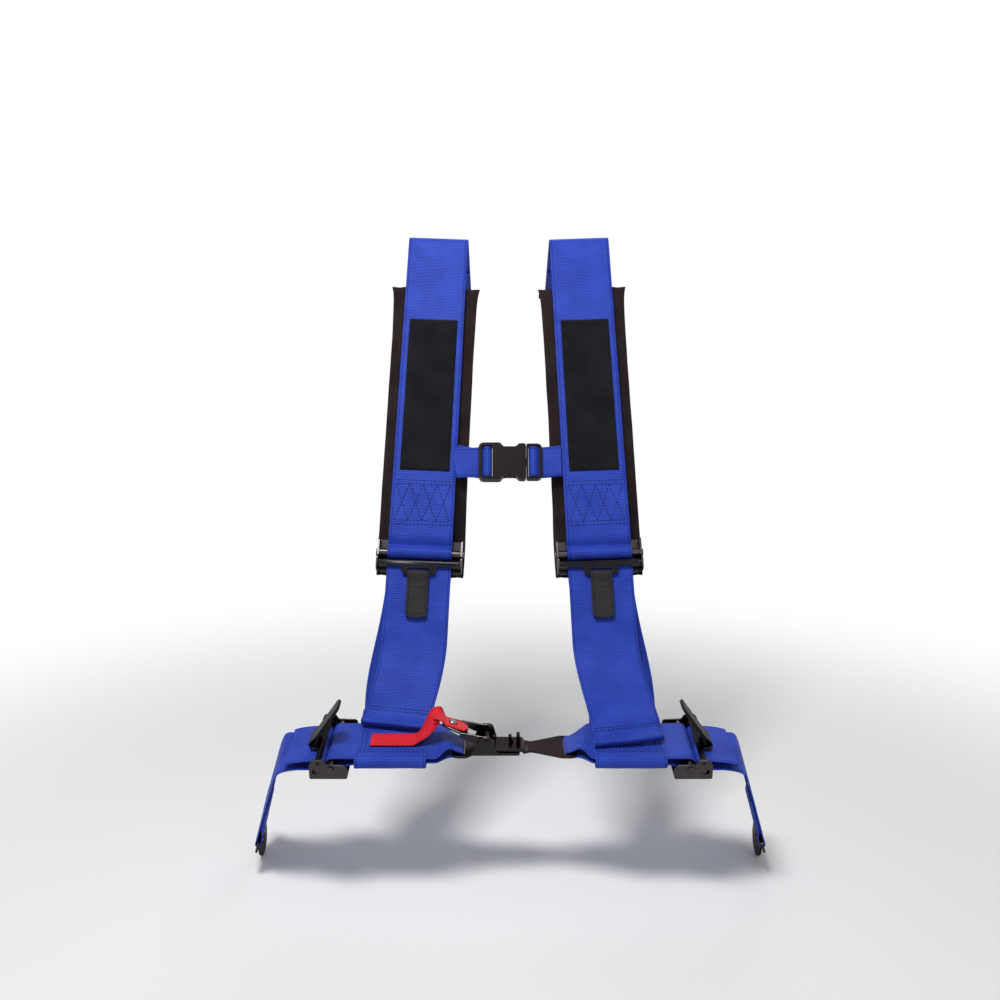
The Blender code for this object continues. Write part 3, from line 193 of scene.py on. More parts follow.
def flowing(start, end, pull_start, pull_end, steps=36):
    corners = (start[0], start[0] + start[2] * pull_start, end[0] - end[2] * pull_end, end[0])
    points = interpolate_bezier(*corners, steps + 1)
    return [(p, start[1].lerp(end[1], k / steps).normalized()) for k, p in enumerate(points)]


def anchor_loop():
    past_bar = -SLOT_BAR - CLEAR
    sewn = past_bar - ANCHOR_CLOSING
    pull = ANCHOR_CLOSING / 2
    path = arc((0, LOOP_R), LOOP_R, -90, 90)
    path += bezier((past_bar, 2 * LOOP_R), (past_bar - pull, 2 * LOOP_R), (sewn + pull, LAYER), (sewn, LAYER))
    return path + [(-ANCHOR_SEWN, LAYER)]


def lock_wrap():
    return arc((-LOCK_DROP, -LOCK_DEPTH), WRAP_R, -90, 90)


def upper_path(side):
    low, top, upper, back = ROLL_CLOSING, UPPER_RUN, UPPER_RUN + EDGE_R, -EDGE_R - BACK_RUN
    path = [(SEWN_RETURN, -LAYER)]
    path += bezier((low, -LAYER), (low / 2, -LAYER), (low / 2, -2 * ROLL_R), (0, -2 * ROLL_R))
    path += arc((0, -ROLL_R), ROLL_R, -90, -180, ROLL_BACK_STEPS)[1:]
    path += swollen_roll()
    path += arc((top, -EDGE_R), EDGE_R, 90, 0)
    path += [(upper - inward, back - along) for along, inward in anchor_loop()]
    return along_yz(shoulder_frame(side), path)


def swollen_roll():
    """Front of the sewn roll: it swells forward of the strap, which dips in a crease above it."""
    path = []
    for k in range(1, ROLL_STEPS + 1):
        angle = radians(180 - 90 * k / ROLL_STEPS)
        reach = ROLL_R + ROLL_BULGE * sin(pi / 2 * k / ROLL_STEPS) ** 2
        path.append((reach * cos(angle), reach * sin(angle) - ROLL_R))
    top, crease = path[-1], (ROLL_CREASE, -CREASE_DIP)
    over, into = ROLL_TOP_PULL * ROLL_CREASE, ROLL_CREASE_PULL * ROLL_CREASE
    path += bezier(top, (over, top[1]), (into, crease[1]), crease)[1:]
    start, end = ROLL_CREASE + CREASE_PULL, CREASE_END - CREASE_END_PULL
    return path + bezier(crease, (start, crease[1]), (end, 0), (CREASE_END, 0))[1:]


def folded_end(end, length):
    point, across, heading = end
    below = heading.cross(across).normalized()
    if below.z > 0:
        below = -below
    centre = point + below * FOLD_R
    turn = [radians(90 - 180 * k / FOLD_STEPS) for k in range(1, FOLD_STEPS + 1)]
    swell = [FOLD_R + FOLD_PUFF * cos(a) for a in turn]
    path = [(centre + r * (heading * cos(a) - below * sin(a)), across) for r, a in zip(swell, turn)]
    return path + [(path[-1][0] - heading * length, across)]


def lower_path(side):
    place = adjuster_frame("shoulder", side)
    across = place.to_3x3() @ X_AXIS
    down = place.to_3x3() @ -Y_AXIS
    forward = -LAP_ACROSS
    wrap = along_yz(place, lock_wrap())
    foot_x = SIDES[side] * FOOT_HALF_SPACING
    lap_edge = WEB_WIDTH / 2
    turn_r = (SEWN_TOP - SEWN_UNDER) / 2
    hem = [(SEWN_LENGTH - lap_edge, SEWN_TOP)] + arc((-lap_edge, SEWN_TOP - turn_r), turn_r, 90, 270)
    path = [(LAP @ Vector((foot_x, u, v)), X_AXIS) for u, v in hem]
    entry = (LAP @ Vector((foot_x, lap_edge, SEWN_UNDER)), X_AXIS, -forward)
    path += bowed(flowing(entry, (wrap[0][0], across, -down), REAR_PULL, REAR_UPPER_PULL), side)
    path += wrap[1:]
    straight = (wrap[-1][0] + down * TAIL_STRAIGHT, across, down)
    dip = forward * cos(TAIL_DIP) - LAP_UP * sin(TAIL_DIP)
    tail_y = TAIL_END_Y[side]
    landing = (LAP @ Vector((foot_x, tail_y, TAIL_ABOVE_LAP)), X_AXIS, dip)
    path += flowing(straight, landing, TAIL_PULL, TAIL_LANDING_PULL - tail_y)
    return path + folded_end(landing, TAIL_FOLD)


def bowed(path, side):
    """The layer under the tail stands a little further out than the tail between its ends."""
    last = len(path) - 1
    bows = [REAR_BOW * sin(pi * k / last) ** 2 for k in range(last + 1)]
    return [(p + X_AXIS * SIDES[side] * bow, across) for bow, (p, across) in zip(bows, path)]


def draped(rows, side):
    """The tail lies a little askew, its outer corner further back, and is puffed up over its fold."""
    back = LAP_ACROSS * TAIL_SKEW
    start = rows[-1][3] - TAIL_SKEW_RUN
    fold = rows[-1][3] - TAIL_FOLD - pi * FOLD_R
    made = []
    for p, across, normal, run in rows:
        share = eased((run - start) / (TAIL_SKEW_RUN - 2 * TAIL_FOLD))
        puffed = eased(1 - (fold - run) / FOLD_RUN) * eased(1 - (run - fold) / (pi * FOLD_R))
        p = p + LAP_UP * FOLD_RISE * puffed + back * WEB_WIDTH / 2 * share
        made.append((p, across + back * SIDES[side] * share, normal, run))
    return made


def eased(share):
    share = min(max(share, 0), 1)
    return share * share * (3 - 2 * share)


def inner_lap_path(side):
    roll = (LAP_ADJUSTER_OUT, LOOP_R - ROLL_R)
    low = roll[1] - ROLL_R
    under = -LOOP_R - LAYER
    near = LAP_ADJUSTER_OUT - ROLL_CLOSING
    middle = (LAP_ADJUSTER_OUT + near) / 2
    loop_out = LAP_LOOP_OUT[side]
    run = [DRAWN_RUN * k / DRAWN_STEPS for k in range(1, DRAWN_STEPS + 1)]
    path = [(LAP_UNDER_START, -LOOP_R)]
    path += [(loop_out + d, -LOOP_R) for d in reversed(run)]
    path += arc((loop_out, 0), LOOP_R, -90, -270)
    path += [(loop_out + d, LOOP_R + LOOP_PUFF * sin(pi * d / DRAWN_RUN) ** 2) for d in run]
    path += arc(roll, ROLL_R, 90, -90)
    path += bezier((LAP_ADJUSTER_OUT, low), (middle, low), (middle, under), (near, under))[1:]
    path.append((LAP_RETURN_END, under))
    rows = []
    for out, z in path:
        drawn_in = drawn_share(out - loop_out)
        place = towards_buckle(drawn_in)
        across = place.to_3x3() @ Y_AXIS * (1 + (DRAWN_WIDTH / WEB_WIDTH - 1) * drawn_in)
        rows.append((place @ Vector((SIDES[side] * out, 0, z)), across))
    return rows


def drawn_share(distance):
    return eased((DRAWN_RUN - distance) / (DRAWN_RUN - DRAWN_START))


def outer_lap_path(side):
    sign = SIDES[side]
    wrap = along_yz(adjuster_frame("lap", side), lock_wrap())
    outward = LAP.to_3x3() @ (sign * X_AXIS)
    lap_across = sign * LAP_ACROSS
    run_across = sign * Vector((0, cos(OUTER_SLANT), sin(OUTER_SLANT)))
    fall = Vector((0, sin(OUTER_SLANT), -cos(OUTER_SLANT)))
    run = sign * X_AXIS * sin(OUTER_FLARE) + fall * cos(OUTER_FLARE)
    inward = run_across.cross(run)
    brow = wrap[0][0] + outward * (BOLSTER_OUT - LAP_ADJUSTER_OUT - LOCK_DROP)
    bend_end = brow + (outward + run) * BOLSTER_R
    loop = bend_end + run * OUTER_RUN
    path = [(loop + run * u + inward * v, run_across) for u, v in reversed(anchor_loop())]
    bend_start = (brow, lap_across, outward)
    bend = flowing(bend_start, (bend_end, run_across, run), BOLSTER_R, BOLSTER_R, BOLSTER_STEPS)
    path += reversed(bend)
    path += wrap
    droop = (outward - LAP_UP * LAP_TAIL_DROOP).normalized()
    tail_start = (wrap[-1][0], lap_across, outward)
    tail = wrap[-1][0] + outward * LAP_TAIL - LAP_UP * LAP_TAIL * LAP_TAIL_DROOP / 3
    tail_end = (tail, lap_across, droop)
    return path + flowing(tail_start, tail_end, LAP_TAIL / 3, LAP_TAIL / 3, LAP_TAIL_STEPS)[1:]


def chest_path(side):
    sign = SIDES[side]
    edge = ADJUSTER_HALF_SPACING - (CHEST_RISE - ADJUSTER_RISE) * tan(SPLAY) - WEB_WIDTH / 2
    depth = WEB_T / 2 + CLEAR + CHEST_T / 2
    bar = WEB_BAR_OUT[side] + sign * CHEST_CENTRE
    behind = CHEST_FRONT - CHEST_WRAP_R
    path = [(edge + CHEST_SEWN, -depth)]
    rear = edge - CHEST_REAR_START
    path += bezier((rear, -depth), (rear - CHEST_REAR_PULL, -depth),
                   (bar + CHEST_BAR_PULL, behind), (bar, behind))
    for k in range(1, CHEST_STEPS + 1):
        angle = radians(-90 - CHEST_TURN * k / CHEST_STEPS)
        reach = CHEST_WRAP_R + CHEST_PUFF * max(0, -cos(angle)) ** 2
        path.append((bar + reach * cos(angle), CHEST_FRONT + reach * sin(angle)))
    path.append((bar + WEB_WINDOW_HALF, CHEST_FRONT + END_RAIL_BACK - CHEST_T - CLEAR))
    front = bar + CHEST_FRONT_START
    path += bezier((front, depth), (front + CHEST_FRONT_PULL, depth), (edge - CHEST_END_PULL, depth),
                   (edge + CHEST_END[side], depth))
    rows = along_xz(BACK @ moved(0, CHEST_RISE, 0), [(sign * out, z) for out, z in path])
    lifts = [CHEST_LIFT[side] * eased((out - bar - WEB_WINDOW_HALF) / (edge - bar)) for out, z in path]
    return [(p + across * lift, across) for lift, (p, across) in zip(lifts, rows)]


def tab_path(kind, side):
    gap = (TAB_T + CLEAR) / 2
    path = [(-TAB_LENGTH, -gap)]
    path += bezier((-TAB_SEWN, -gap), (-TAB_SEWN / 2, -gap), (-TAB_SEWN / 2, -TAB_R), (0, -TAB_R))
    path += arc((0, 0), TAB_R, -90, 90)[1:]
    path += bezier((0, TAB_R), (-TAB_SEWN / 2, TAB_R), (-TAB_SEWN / 2, gap), (-TAB_SEWN, gap))[1:]
    path.append((-TAB_LENGTH, gap))
    return along_yz(tab_frame(kind, side), path)


def tab_frame(kind, side):
    return (adjuster_frame(kind, side) @ moved(0, -RELEASE_DROP - TAB_BAR_DROP, RELEASE_FRONT)
            @ turned_about("X", -TAB_LIFT[kind]))


def lever_line(distance, height):
    return (-distance * cos(LEVER_RISE) + height * sin(LEVER_RISE),
            distance * sin(LEVER_RISE) + height * cos(LEVER_RISE))


def release_path():
    """From a pointed end by the screw along the lever, in a hump off its end, then out over the lap strap."""
    lift = PLATE_T / 2 + CLEAR + WEB_T / 2
    over_lever = PIVOT @ moved(0, RELEASE_STRAP_Y, 0)
    crest = lever_line(RELEASE_CREST, lift + RELEASE_HUMP)
    leave = lever_line(RELEASE_LIFT_OFF, lift)
    half_way = (leave[0] + crest[0]) / 2
    tip = [RELEASE_START - TIP_RUN + TIP_RUN * k / TIP_STEPS for k in range(TIP_STEPS + 1)]
    outline = [lever_line(distance, lift) for distance in tip]
    outline += bezier(leave, (half_way, leave[1]), (half_way, crest[1]), crest)
    path = along_xz(over_lever, outline)
    for k in range(TIP_STEPS):
        path[k] = (path[k][0], path[k][1] * (TIP_WIDTH + (1 - TIP_WIDTH) * k / TIP_STEPS))
    settle_x = PIVOT_X + crest[0] - RELEASE_SETTLE
    settle = (LAP @ Vector((settle_x, RELEASE_STRAP_Y, RELEASE_LOW)), LAP_ACROSS, -X_AXIS)
    path += flowing((*path[-1], -X_AXIS), settle, RELEASE_PULL, RELEASE_PULL, HUMP_STEPS)[1:]
    path = twisted(path, TWIST_START)
    path.append((LAP @ Vector((-RELEASE_END, RELEASE_STRAP_Y, RELEASE_LOW)), LAP_ACROSS))
    return path


def twisted(path, first):
    """The strap's hump leans to the front, from nothing at the first point of it to nothing near the last."""
    made = path[:first]
    for k in range(first, len(path)):
        point, across = path[k]
        ahead = path[min(k + 1, len(path) - 1)][0] - path[k - 1][0]
        upward = ahead.cross(across).normalized() * across.length
        if upward.z < 0:
            upward = -upward
        share = (k - first) / (len(path) - 1 - first) / TWIST_END
        angle = RELEASE_TWIST * sin(pi * min(share, 1))
        sunk = upward * sin(angle) * RELEASE_WIDTH / 2 * TWIST_SINK
        made.append((point - sunk, across * cos(angle) + upward * sin(angle)))
    return made


# Materials

GRAZING_TINT = (0.46, 0.44, 0.45, 1)
MIX_A, MIX_B, MIX_RESULT = 6, 7, 2
WOBBLE_SCALE, WOBBLE_TURN, YARN_SLANT = 120.0, 5.0, 0.5
SELVEDGE_IN, SELVEDGE_OUT, GROOVE_IN, GROOVE_OUT = 0.0026, 0.0018, 0.0034, 0.0028
GROOVE_DEPTH, GROOVE_SHADE_TONE, SHEEN_PALE = 0.5, 0.62, 0.2
THREAD_TONE, HAZE_TONE, HAZE_ROUGH, MARK_ROUGH = 0.55, 0.7, 0.12, 0.06
RUBBED_SHARE, SCUFF_SHARE, GRAIN_ROUGH, ROUGH_DROP = 0.35, 0.4, 0.14, 0.05


def put(socket, value):
    """Links the socket to another one, or gives it a plain value."""
    if isinstance(value, bpy.types.NodeSocket):
        socket.id_data.links.new(value, socket)
    else:
        socket.default_value = value


def set_inputs(node, values):
    for key, value in values.items():
        put(node.inputs[key], value)


def added(tree, kind, values):
    node = tree.nodes.new("ShaderNode" + kind)
    set_inputs(node, values)
    return node


def shader(name):
    made = bpy.data.materials.new(name)
    made.use_nodes = True
    return made, made.node_tree, made.node_tree.nodes["Principled BSDF"]


def calc(operation, *values):
    node = added(values[0].id_data, "Math", dict(enumerate(values)))
    node.operation = operation
    return node.outputs[0]


def weighed(a, b, part_a, part_b):
    return calc("MULTIPLY_ADD", a, part_a, calc("MULTIPLY", b, part_b))


def wave(phase):
    return calc("MULTIPLY_ADD", calc("SINE", phase), 0.5, 0.5)


def blend_colour(factor, a, b):
    node = added(factor.id_data, "Mix", {0: factor})
    node.data_type = "RGBA"
    for place, colour in ((MIX_A, a), (MIX_B, b)):
        put(node.inputs[place], colour if isinstance(colour, bpy.types.NodeSocket) else (*colour, 1))
    return node.outputs[MIX_RESULT]


def darker(colour, tone):
    return tuple(tone * c for c in colour)


def paler(colour, gain, lift):
    return tuple(min(1.0, gain * c + lift) for c in colour)


def noise_of(where, scale, detail=3.0, rough=0.5):
    values = {"Vector": where, "Scale": scale, "Detail": detail, "Roughness": rough}
    return added(where.id_data, "TexNoise", values).outputs["Fac"]


def spread(value, low, high, to_low=0.0, to_high=1.0):
    values = {"Value": value, "From Min": low, "From Max": high, "To Min": to_low, "To Max": to_high}
    node = added(value.id_data, "MapRange", values)
    node.interpolation_type = "SMOOTHSTEP"
    return node.outputs["Result"]


def bump(height, strength, distance):
    values = {"Height": height, "Strength": strength, "Distance": distance}
    return added(height.id_data, "Bump", values).outputs["Normal"]


def coordinates(tree):
    return added(tree, "TexCoord", {}).outputs["Object"]


def web_material(name, light, dark, width, rib=0.0021, yarn=0.0013):
    """Woven webbing: cross ribs of yarn, a firm selvedge, and slow changes of shade along its length."""
    made, tree, bsdf = shader(name)
    lay = added(tree, "Attribute", {})
    lay.attribute_name = "lay"
    where = lay.outputs["Vector"]
    parts = added(tree, "SeparateXYZ", {0: where}).outputs
    wobble = calc("MULTIPLY", noise_of(where, WOBBLE_SCALE), WOBBLE_TURN)
    phase = calc("MULTIPLY_ADD", parts[1], 2 * pi / rib, wobble)
    columns = calc("MULTIPLY", parts[0], 2 * pi / yarn)
    slant = calc("ADD", columns, calc("MULTIPLY", phase, YARN_SLANT))
    height = weighed(wave(phase), wave(slant), part_a=0.72, part_b=0.28)
    side = calc("ABSOLUTE", parts[0])
    selvedge = spread(side, width / 2 - SELVEDGE_IN, width / 2 - SELVEDGE_OUT)
    inside = spread(side, width / 2 - GROOVE_IN, width / 2 - GROOVE_OUT)
    groove = calc("MULTIPLY", calc("SUBTRACT", inside, selvedge), GROOVE_DEPTH)
    height = calc("SUBTRACT", height, groove)
    slow = noise_of(where, scale=30.0, detail=4.0)
    shade = weighed(height, slow, part_a=0.50, part_b=0.62)
    base = blend_colour(spread(shade, low=0.16, high=0.92), dark, light)
    # Darker colour in the groove inside each selvedge: painted shade
    base = blend_colour(groove, base, darker(dark, GROOVE_SHADE_TONE))
    rough = spread(height, low=0.0, high=1.0, to_low=0.72, to_high=0.50)
    set_inputs(bsdf, {"Base Color": base, "Roughness": rough, "Specular IOR Level": 0.18,
                      "Sheen Weight": 0.05, "Sheen Roughness": 0.35,
                      "Sheen Tint": (*paler(light, 1.0, SHEEN_PALE), 1),
                      "Normal": bump(height, strength=0.5, distance=0.00035)})
    return made


def thread_material(name, colour):
    made, tree, bsdf = shader(name)
    twist = noise_of(coordinates(tree), scale=2600.0, detail=2.0)
    shade = spread(twist, low=0.3, high=0.7)
    set_inputs(bsdf, {"Base Color": blend_colour(shade, darker(colour, THREAD_TONE), colour),
                      "Roughness": 0.6, "Specular IOR Level": 0.2,
                      "Normal": bump(twist, strength=0.4, distance=0.0002)})
    return made


def cloth_material(name, light, dark, scale=1500.0):
    """Close knit cloth with a soft nap, in slightly uneven black."""
    made, tree, bsdf = shader(name)
    where = coordinates(tree)
    cells = added(tree, "TexVoronoi", {"Vector": where, "Scale": scale})
    slow = noise_of(where, scale=34.0, detail=4.0)
    grain = noise_of(where, scale=420.0)
    height = weighed(cells.outputs["Distance"], grain, part_a=0.7, part_b=0.5)
    shade = weighed(slow, height, part_a=0.6, part_b=0.4)
    base = blend_colour(spread(shade, low=0.3, high=0.75), dark, light)
    set_inputs(bsdf, {"Base Color": base, "Roughness": 0.85, "Specular IOR Level": 0.07,
                      "Sheen Weight": 0.04, "Sheen Roughness": 0.5,
                      "Normal": bump(height, strength=0.45, distance=0.0004)})
    return made


def metal_material(name, colour, rough):
    """Plated steel: smooth, with faint rolling marks, handling haze and paler rubbed spots."""
    made, tree, bsdf = shader(name)
    where = coordinates(tree)
    stretched = added(tree, "Mapping", {"Vector": where, "Scale": (1, 1, 14)}).outputs[0]
    marks = noise_of(stretched, scale=220.0, detail=4.0, rough=0.6)
    haze = noise_of(where, scale=70.0, detail=4.0)
    spots = noise_of(where, scale=150.0, detail=6.0, rough=0.7)
    rubbed = calc("MULTIPLY", spread(spots, low=0.6, high=0.72), RUBBED_SHARE)
    base = blend_colour(haze, darker(colour, HAZE_TONE), colour)
    base = blend_colour(rubbed, base, paler(colour, gain=1.8, lift=0.01))
    hazy = calc("MULTIPLY_ADD", haze, HAZE_ROUGH, rough - ROUGH_DROP)
    set_inputs(bsdf, {"Base Color": base, "Metallic": 1.0, "Specular Tint": GRAZING_TINT,
                      "Roughness": calc("MULTIPLY_ADD", marks, MARK_ROUGH, hazy),
                      "Normal": bump(marks, strength=0.06, distance=0.0002)})
    return made


def plastic_material(name, colour, rough):
    """Moulded plastic with a fine spark-eroded grain and scuffs that catch the light."""
    made, tree, bsdf = shader(name)
    where = coordinates(tree)
    grain = noise_of(where, scale=2400.0, rough=0.6)
    spots = noise_of(where, scale=120.0, detail=6.0, rough=0.7)
    scuff = calc("MULTIPLY", spread(spots, low=0.58, high=0.75), SCUFF_SHARE)
    base = blend_colour(scuff, colour, paler(colour, gain=2.2, lift=0.004))
    set_inputs(bsdf, {"Base Color": base, "Specular IOR Level": 0.09,
                      "Roughness": calc("MULTIPLY_ADD", grain, GRAIN_ROUGH, rough - ROUGH_DROP),
                      "Normal": bump(grain, strength=0.18, distance=0.0002)})
    return made


BLUE_LIGHT, BLUE_DARK = (0.028, 0.072, 0.500), (0.006, 0.020, 0.240)
BLACK_LIGHT, BLACK_DARK = (0.026, 0.022, 0.025), (0.007, 0.006, 0.007)
RED_LIGHT, RED_DARK = (0.82, 0.024, 0.040), (0.50, 0.008, 0.014)
BLUE = web_material("blue_webbing", BLUE_LIGHT, BLUE_DARK, WEB_WIDTH)
BLUE_NARROW = web_material("blue_narrow_webbing", BLUE_LIGHT, BLUE_DARK, CHEST_WIDTH, rib=0.0018, yarn=0.0011)
BLACK_WEB = web_material("black_webbing", BLACK_LIGHT, BLACK_DARK, TAB_WIDTH, rib=0.0024, yarn=0.0012)
RED_WEB = web_material("red_webbing", RED_LIGHT, RED_DARK, RELEASE_WIDTH, rib=0.0019, yarn=0.0012)
BLUE_THREAD = thread_material("blue_thread", (0.008, 0.017, 0.130))
BLACK_THREAD = thread_material("black_thread", (0.006, 0.006, 0.007))
# Black with a red tint: the tint is painted red bounce light
PAD_CLOTH = cloth_material("pad_cloth", (0.026, 0.017, 0.017), (0.010, 0.006, 0.006))
LABEL_CLOTH = cloth_material("label_cloth", (0.012, 0.012, 0.015), (0.005, 0.005, 0.007), scale=2600.0)
BLACK_CHROME = metal_material("black_chrome", (0.034, 0.031, 0.032), rough=0.15)
# Paler copy of the black chrome for the adjuster frames and bars: painted reflection
FRAME_CHROME_PAINTED_REFLECTION = metal_material("frame_chrome_painted_reflection", (0.070, 0.062, 0.066), rough=0.22)
# Darker copy of the black chrome for the release levers: painted shade
LEVER_CHROME_PAINTED_SHADE = metal_material("lever_chrome_painted_shade", (0.018, 0.017, 0.019), rough=0.24)
SCREW_STEEL = metal_material("screw_steel", (0.260, 0.235, 0.240), rough=0.20)
# Paler copy of the steel for bevelled edges: part rubbed wear, part painted edge highlight
EDGE_WEAR_AND_HIGHLIGHT_STEEL = metal_material("edge_wear_and_highlight_steel", (0.170, 0.155, 0.160), rough=0.20)
# Black with a red tint: the tint is painted red bounce light
PLASTIC = plastic_material("black_plastic", (0.0070, 0.0034, 0.0034), rough=0.34)
# Paler copy of the plastic for bevelled edges: part rubbed wear, part painted edge highlight; its red tint is
# painted bounce light
EDGE_WEAR_AND_HIGHLIGHT_PLASTIC = plastic_material("edge_wear_and_highlight_plastic", (0.0180, 0.0110, 0.0110), rough=0.26)


# Pieces

TINY, WELD = 1e-7, 0.00002
FLAT_ANGLE, WEB_SHARP, EDGE_SHARP = radians(1.0), radians(70), radians(38)
WAVE_ACROSS, WAVE_ALONG = 40, 32
STITCH_SIDES, STITCH_LIFT = 6, 0.0001
# Cross section of a strip: place across it, and share of its thickness there
COLUMNS = (-1.0, -0.985, -0.95, -0.88, -0.7, -0.47, -0.235, 0.0, 0.235, 0.47, 0.7, 0.88, 0.95, 0.985, 1.0)
SECTION = (0.30, 0.74, 1.0, 0.93, 0.96, 1.0, 0.97, 1.0, 0.97, 1.0, 0.96, 0.93, 1.0, 0.74, 0.30)
# Rings of a stitch: place along it, share of its radius, and rise in radii
STITCH_RINGS = ((-1.0, 0.45, -0.9), (-0.62, 1.0, 0.1), (0.62, 1.0, 0.1), (1.0, 0.45, -0.9))


def linked(name, data):
    obj = bpy.data.objects.new(name, data)
    bpy.context.scene.collection.objects.link(obj)
    return obj


def piece(name, mesh, finish, body, nodes=()):
    obj = linked(name, mesh)
    mesh.materials.clear()
    mesh.materials.append(finish)
    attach(obj, body)
    if nodes:
        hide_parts(*nodes)
    return obj


def finished(name, cage):
    """Smooth mesh of the cage, with its faces turned outward."""
    mesh = bpy.data.meshes.new(name)
    bmesh.ops.recalc_face_normals(cage, faces=cage.faces)
    cage.to_mesh(mesh)
    cage.free()
    mesh.shade_smooth()
    return mesh


def even_rows(path, step=0.004):
    """Rows of (point, across, normal, length so far) with long straight runs cut into short ones."""
    points = []
    for (p, a), (q, b) in zip(path, path[1:]):
        length = (q - p).length
        if length < TINY:
            continue
        cuts = max(1, ceil(length / step))
        points += [(p.lerp(q, k / cuts), a.lerp(b, k / cuts)) for k in range(cuts)]
    points.append(path[-1])
    rows = []
    run = 0.0
    for k, (p, a) in enumerate(points):
        ahead = points[min(k + 1, len(points) - 1)][0] - points[max(k - 1, 0)][0]
        normal = ahead.cross(a).normalized()
        if k:
            run += (p - points[k - 1][0]).length
        rows.append((p, a, normal, run))
    return rows


def rounded(rows, width, radius):
    """The rows with the strip's corners cut round at both ends."""
    total = rows[-1][3]
    made = []
    for p, across, normal, run in rows:
        inside = radius - min(run, total - run, radius)
        cut = radius - sqrt(radius * radius - inside * inside)
        made.append((p, across * (1 - 2 * cut / width), normal, run))
    return made


def close_sheet(cage, tops, bottoms):
    """Faces over two layers of points, and round their edges."""
    last = len(tops[0]) - 1
    for k in range(len(tops) - 1):
        for j in range(last):
            cage.faces.new((tops[k][j], tops[k][j + 1], tops[k + 1][j + 1], tops[k + 1][j]))
            cage.faces.new((bottoms[k][j], bottoms[k + 1][j], bottoms[k + 1][j + 1], bottoms[k][j + 1]))
        cage.faces.new((tops[k][0], tops[k + 1][0], bottoms[k + 1][0], bottoms[k][0]))
        cage.faces.new((tops[k][last], bottoms[k][last], bottoms[k + 1][last], tops[k + 1][last]))
    for k in (0, len(tops) - 1):
        for j in range(last):
            cage.faces.new((tops[k][j], tops[k][j + 1], bottoms[k][j + 1], bottoms[k][j]))


def ribbon(name, rows, width, thickness, finish, body, slot, nodes, waves=0.0001, ruck=None):
    """Closed strip of webbing with rounded selvedges, a slightly uneven hand and the rucks it is given."""
    cage = bmesh.new()
    lay = cage.verts.layers.float_vector.new("lay")
    tops, bottoms = [], []
    for p, across, normal, run in rows:
        top, bottom = [], []
        for c, s in zip(COLUMNS, SECTION):
            u = c * width / 2
            uneven = noise.noise(Vector((u * WAVE_ACROSS, run * WAVE_ALONG, len(name))))
            bow = waves * uneven + (ruck(c, run) if ruck else 0)
            base = p + across * u + normal * bow
            for group, sign in ((top, 1), (bottom, -1)):
                vert = cage.verts.new(base + normal * sign * s * thickness / 2)
                vert[lay] = (u, run, 0)
                group.append(vert)
        tops.append(top)
        bottoms.append(bottom)
    close_sheet(cage, tops, bottoms)
    mesh = finished(name, cage)
    mesh.set_sharp_from_angle(angle=WEB_SHARP)
    piece(name, mesh, finish, body, nodes)


def on_rows(rows, lift):
    """Surface point and normal at (across, length along) of a ribbon."""
    def surface(u, v):
        k = 0
        while k < len(rows) - 2 and rows[k + 1][3] < v:
            k += 1
        p, a, n, start = rows[k]
        q, b, m, end = rows[k + 1]
        t = (v - start) / max(end - start, TINY)
        normal = n.lerp(m, t).normalized() * (1 if lift > 0 else -1)
        return p.lerp(q, t) + a.lerp(b, t) * u + normal * abs(lift), normal
    return surface


def on_plane(place, lift):
    """Surface point and normal on a plane at this height over the place."""
    normal = place.to_3x3() @ Z_AXIS

    def surface(u, v):
        return place @ Vector((u, v, lift)), normal
    return surface


def one_stitch(cage, start, end, radius):
    """Short length of thread between two surface points, dipping into the cloth at its ends."""
    middle = (start[0] + end[0]) / 2
    normal = (start[1] + end[1]).normalized()
    reach = (end[0] - start[0]) / 2
    sideways = reach.cross(normal).normalized()
    turns = [tau * q / STITCH_SIDES for q in range(STITCH_SIDES)]
    spokes = [sideways * cos(w) + normal * sin(w) for w in turns]
    rings = []
    for along, size, rise in STITCH_RINGS:
        centre = middle + reach * along + normal * radius * rise
        rings.append([cage.verts.new(centre + radius * size * spoke) for spoke in spokes])
    for low, high in zip(rings, rings[1:]):
        for q in range(STITCH_SIDES):
            cage.faces.new((low[q - 1], low[q], high[q], high[q - 1]))
    cage.faces.new(rings[0])
    cage.faces.new(rings[-1][::-1])


def stitching(name, surface, lines, finish, body, slot, length=0.0032, gap=0.0011, radius=0.0005):
    """Rows of sewn stitches along lines drawn on a surface."""
    cage = bmesh.new()
    for line in lines:
        for (u, v), (to_u, to_v) in zip(line, line[1:]):
            span = hypot(to_u - u, to_v - v)
            count = max(1, round(span / (length + gap)))
            half = (span / count - gap) / 2 / span
            for k in range(count):
                middle = (k + 0.5) / count
                shares = (middle - half, middle + half)
                start, end = [surface(u + (to_u - u) * t, v + (to_v - v) * t) for t in shares]
                one_stitch(cage, start, end, radius)
    piece(name, finished(name, cage), finish, body)


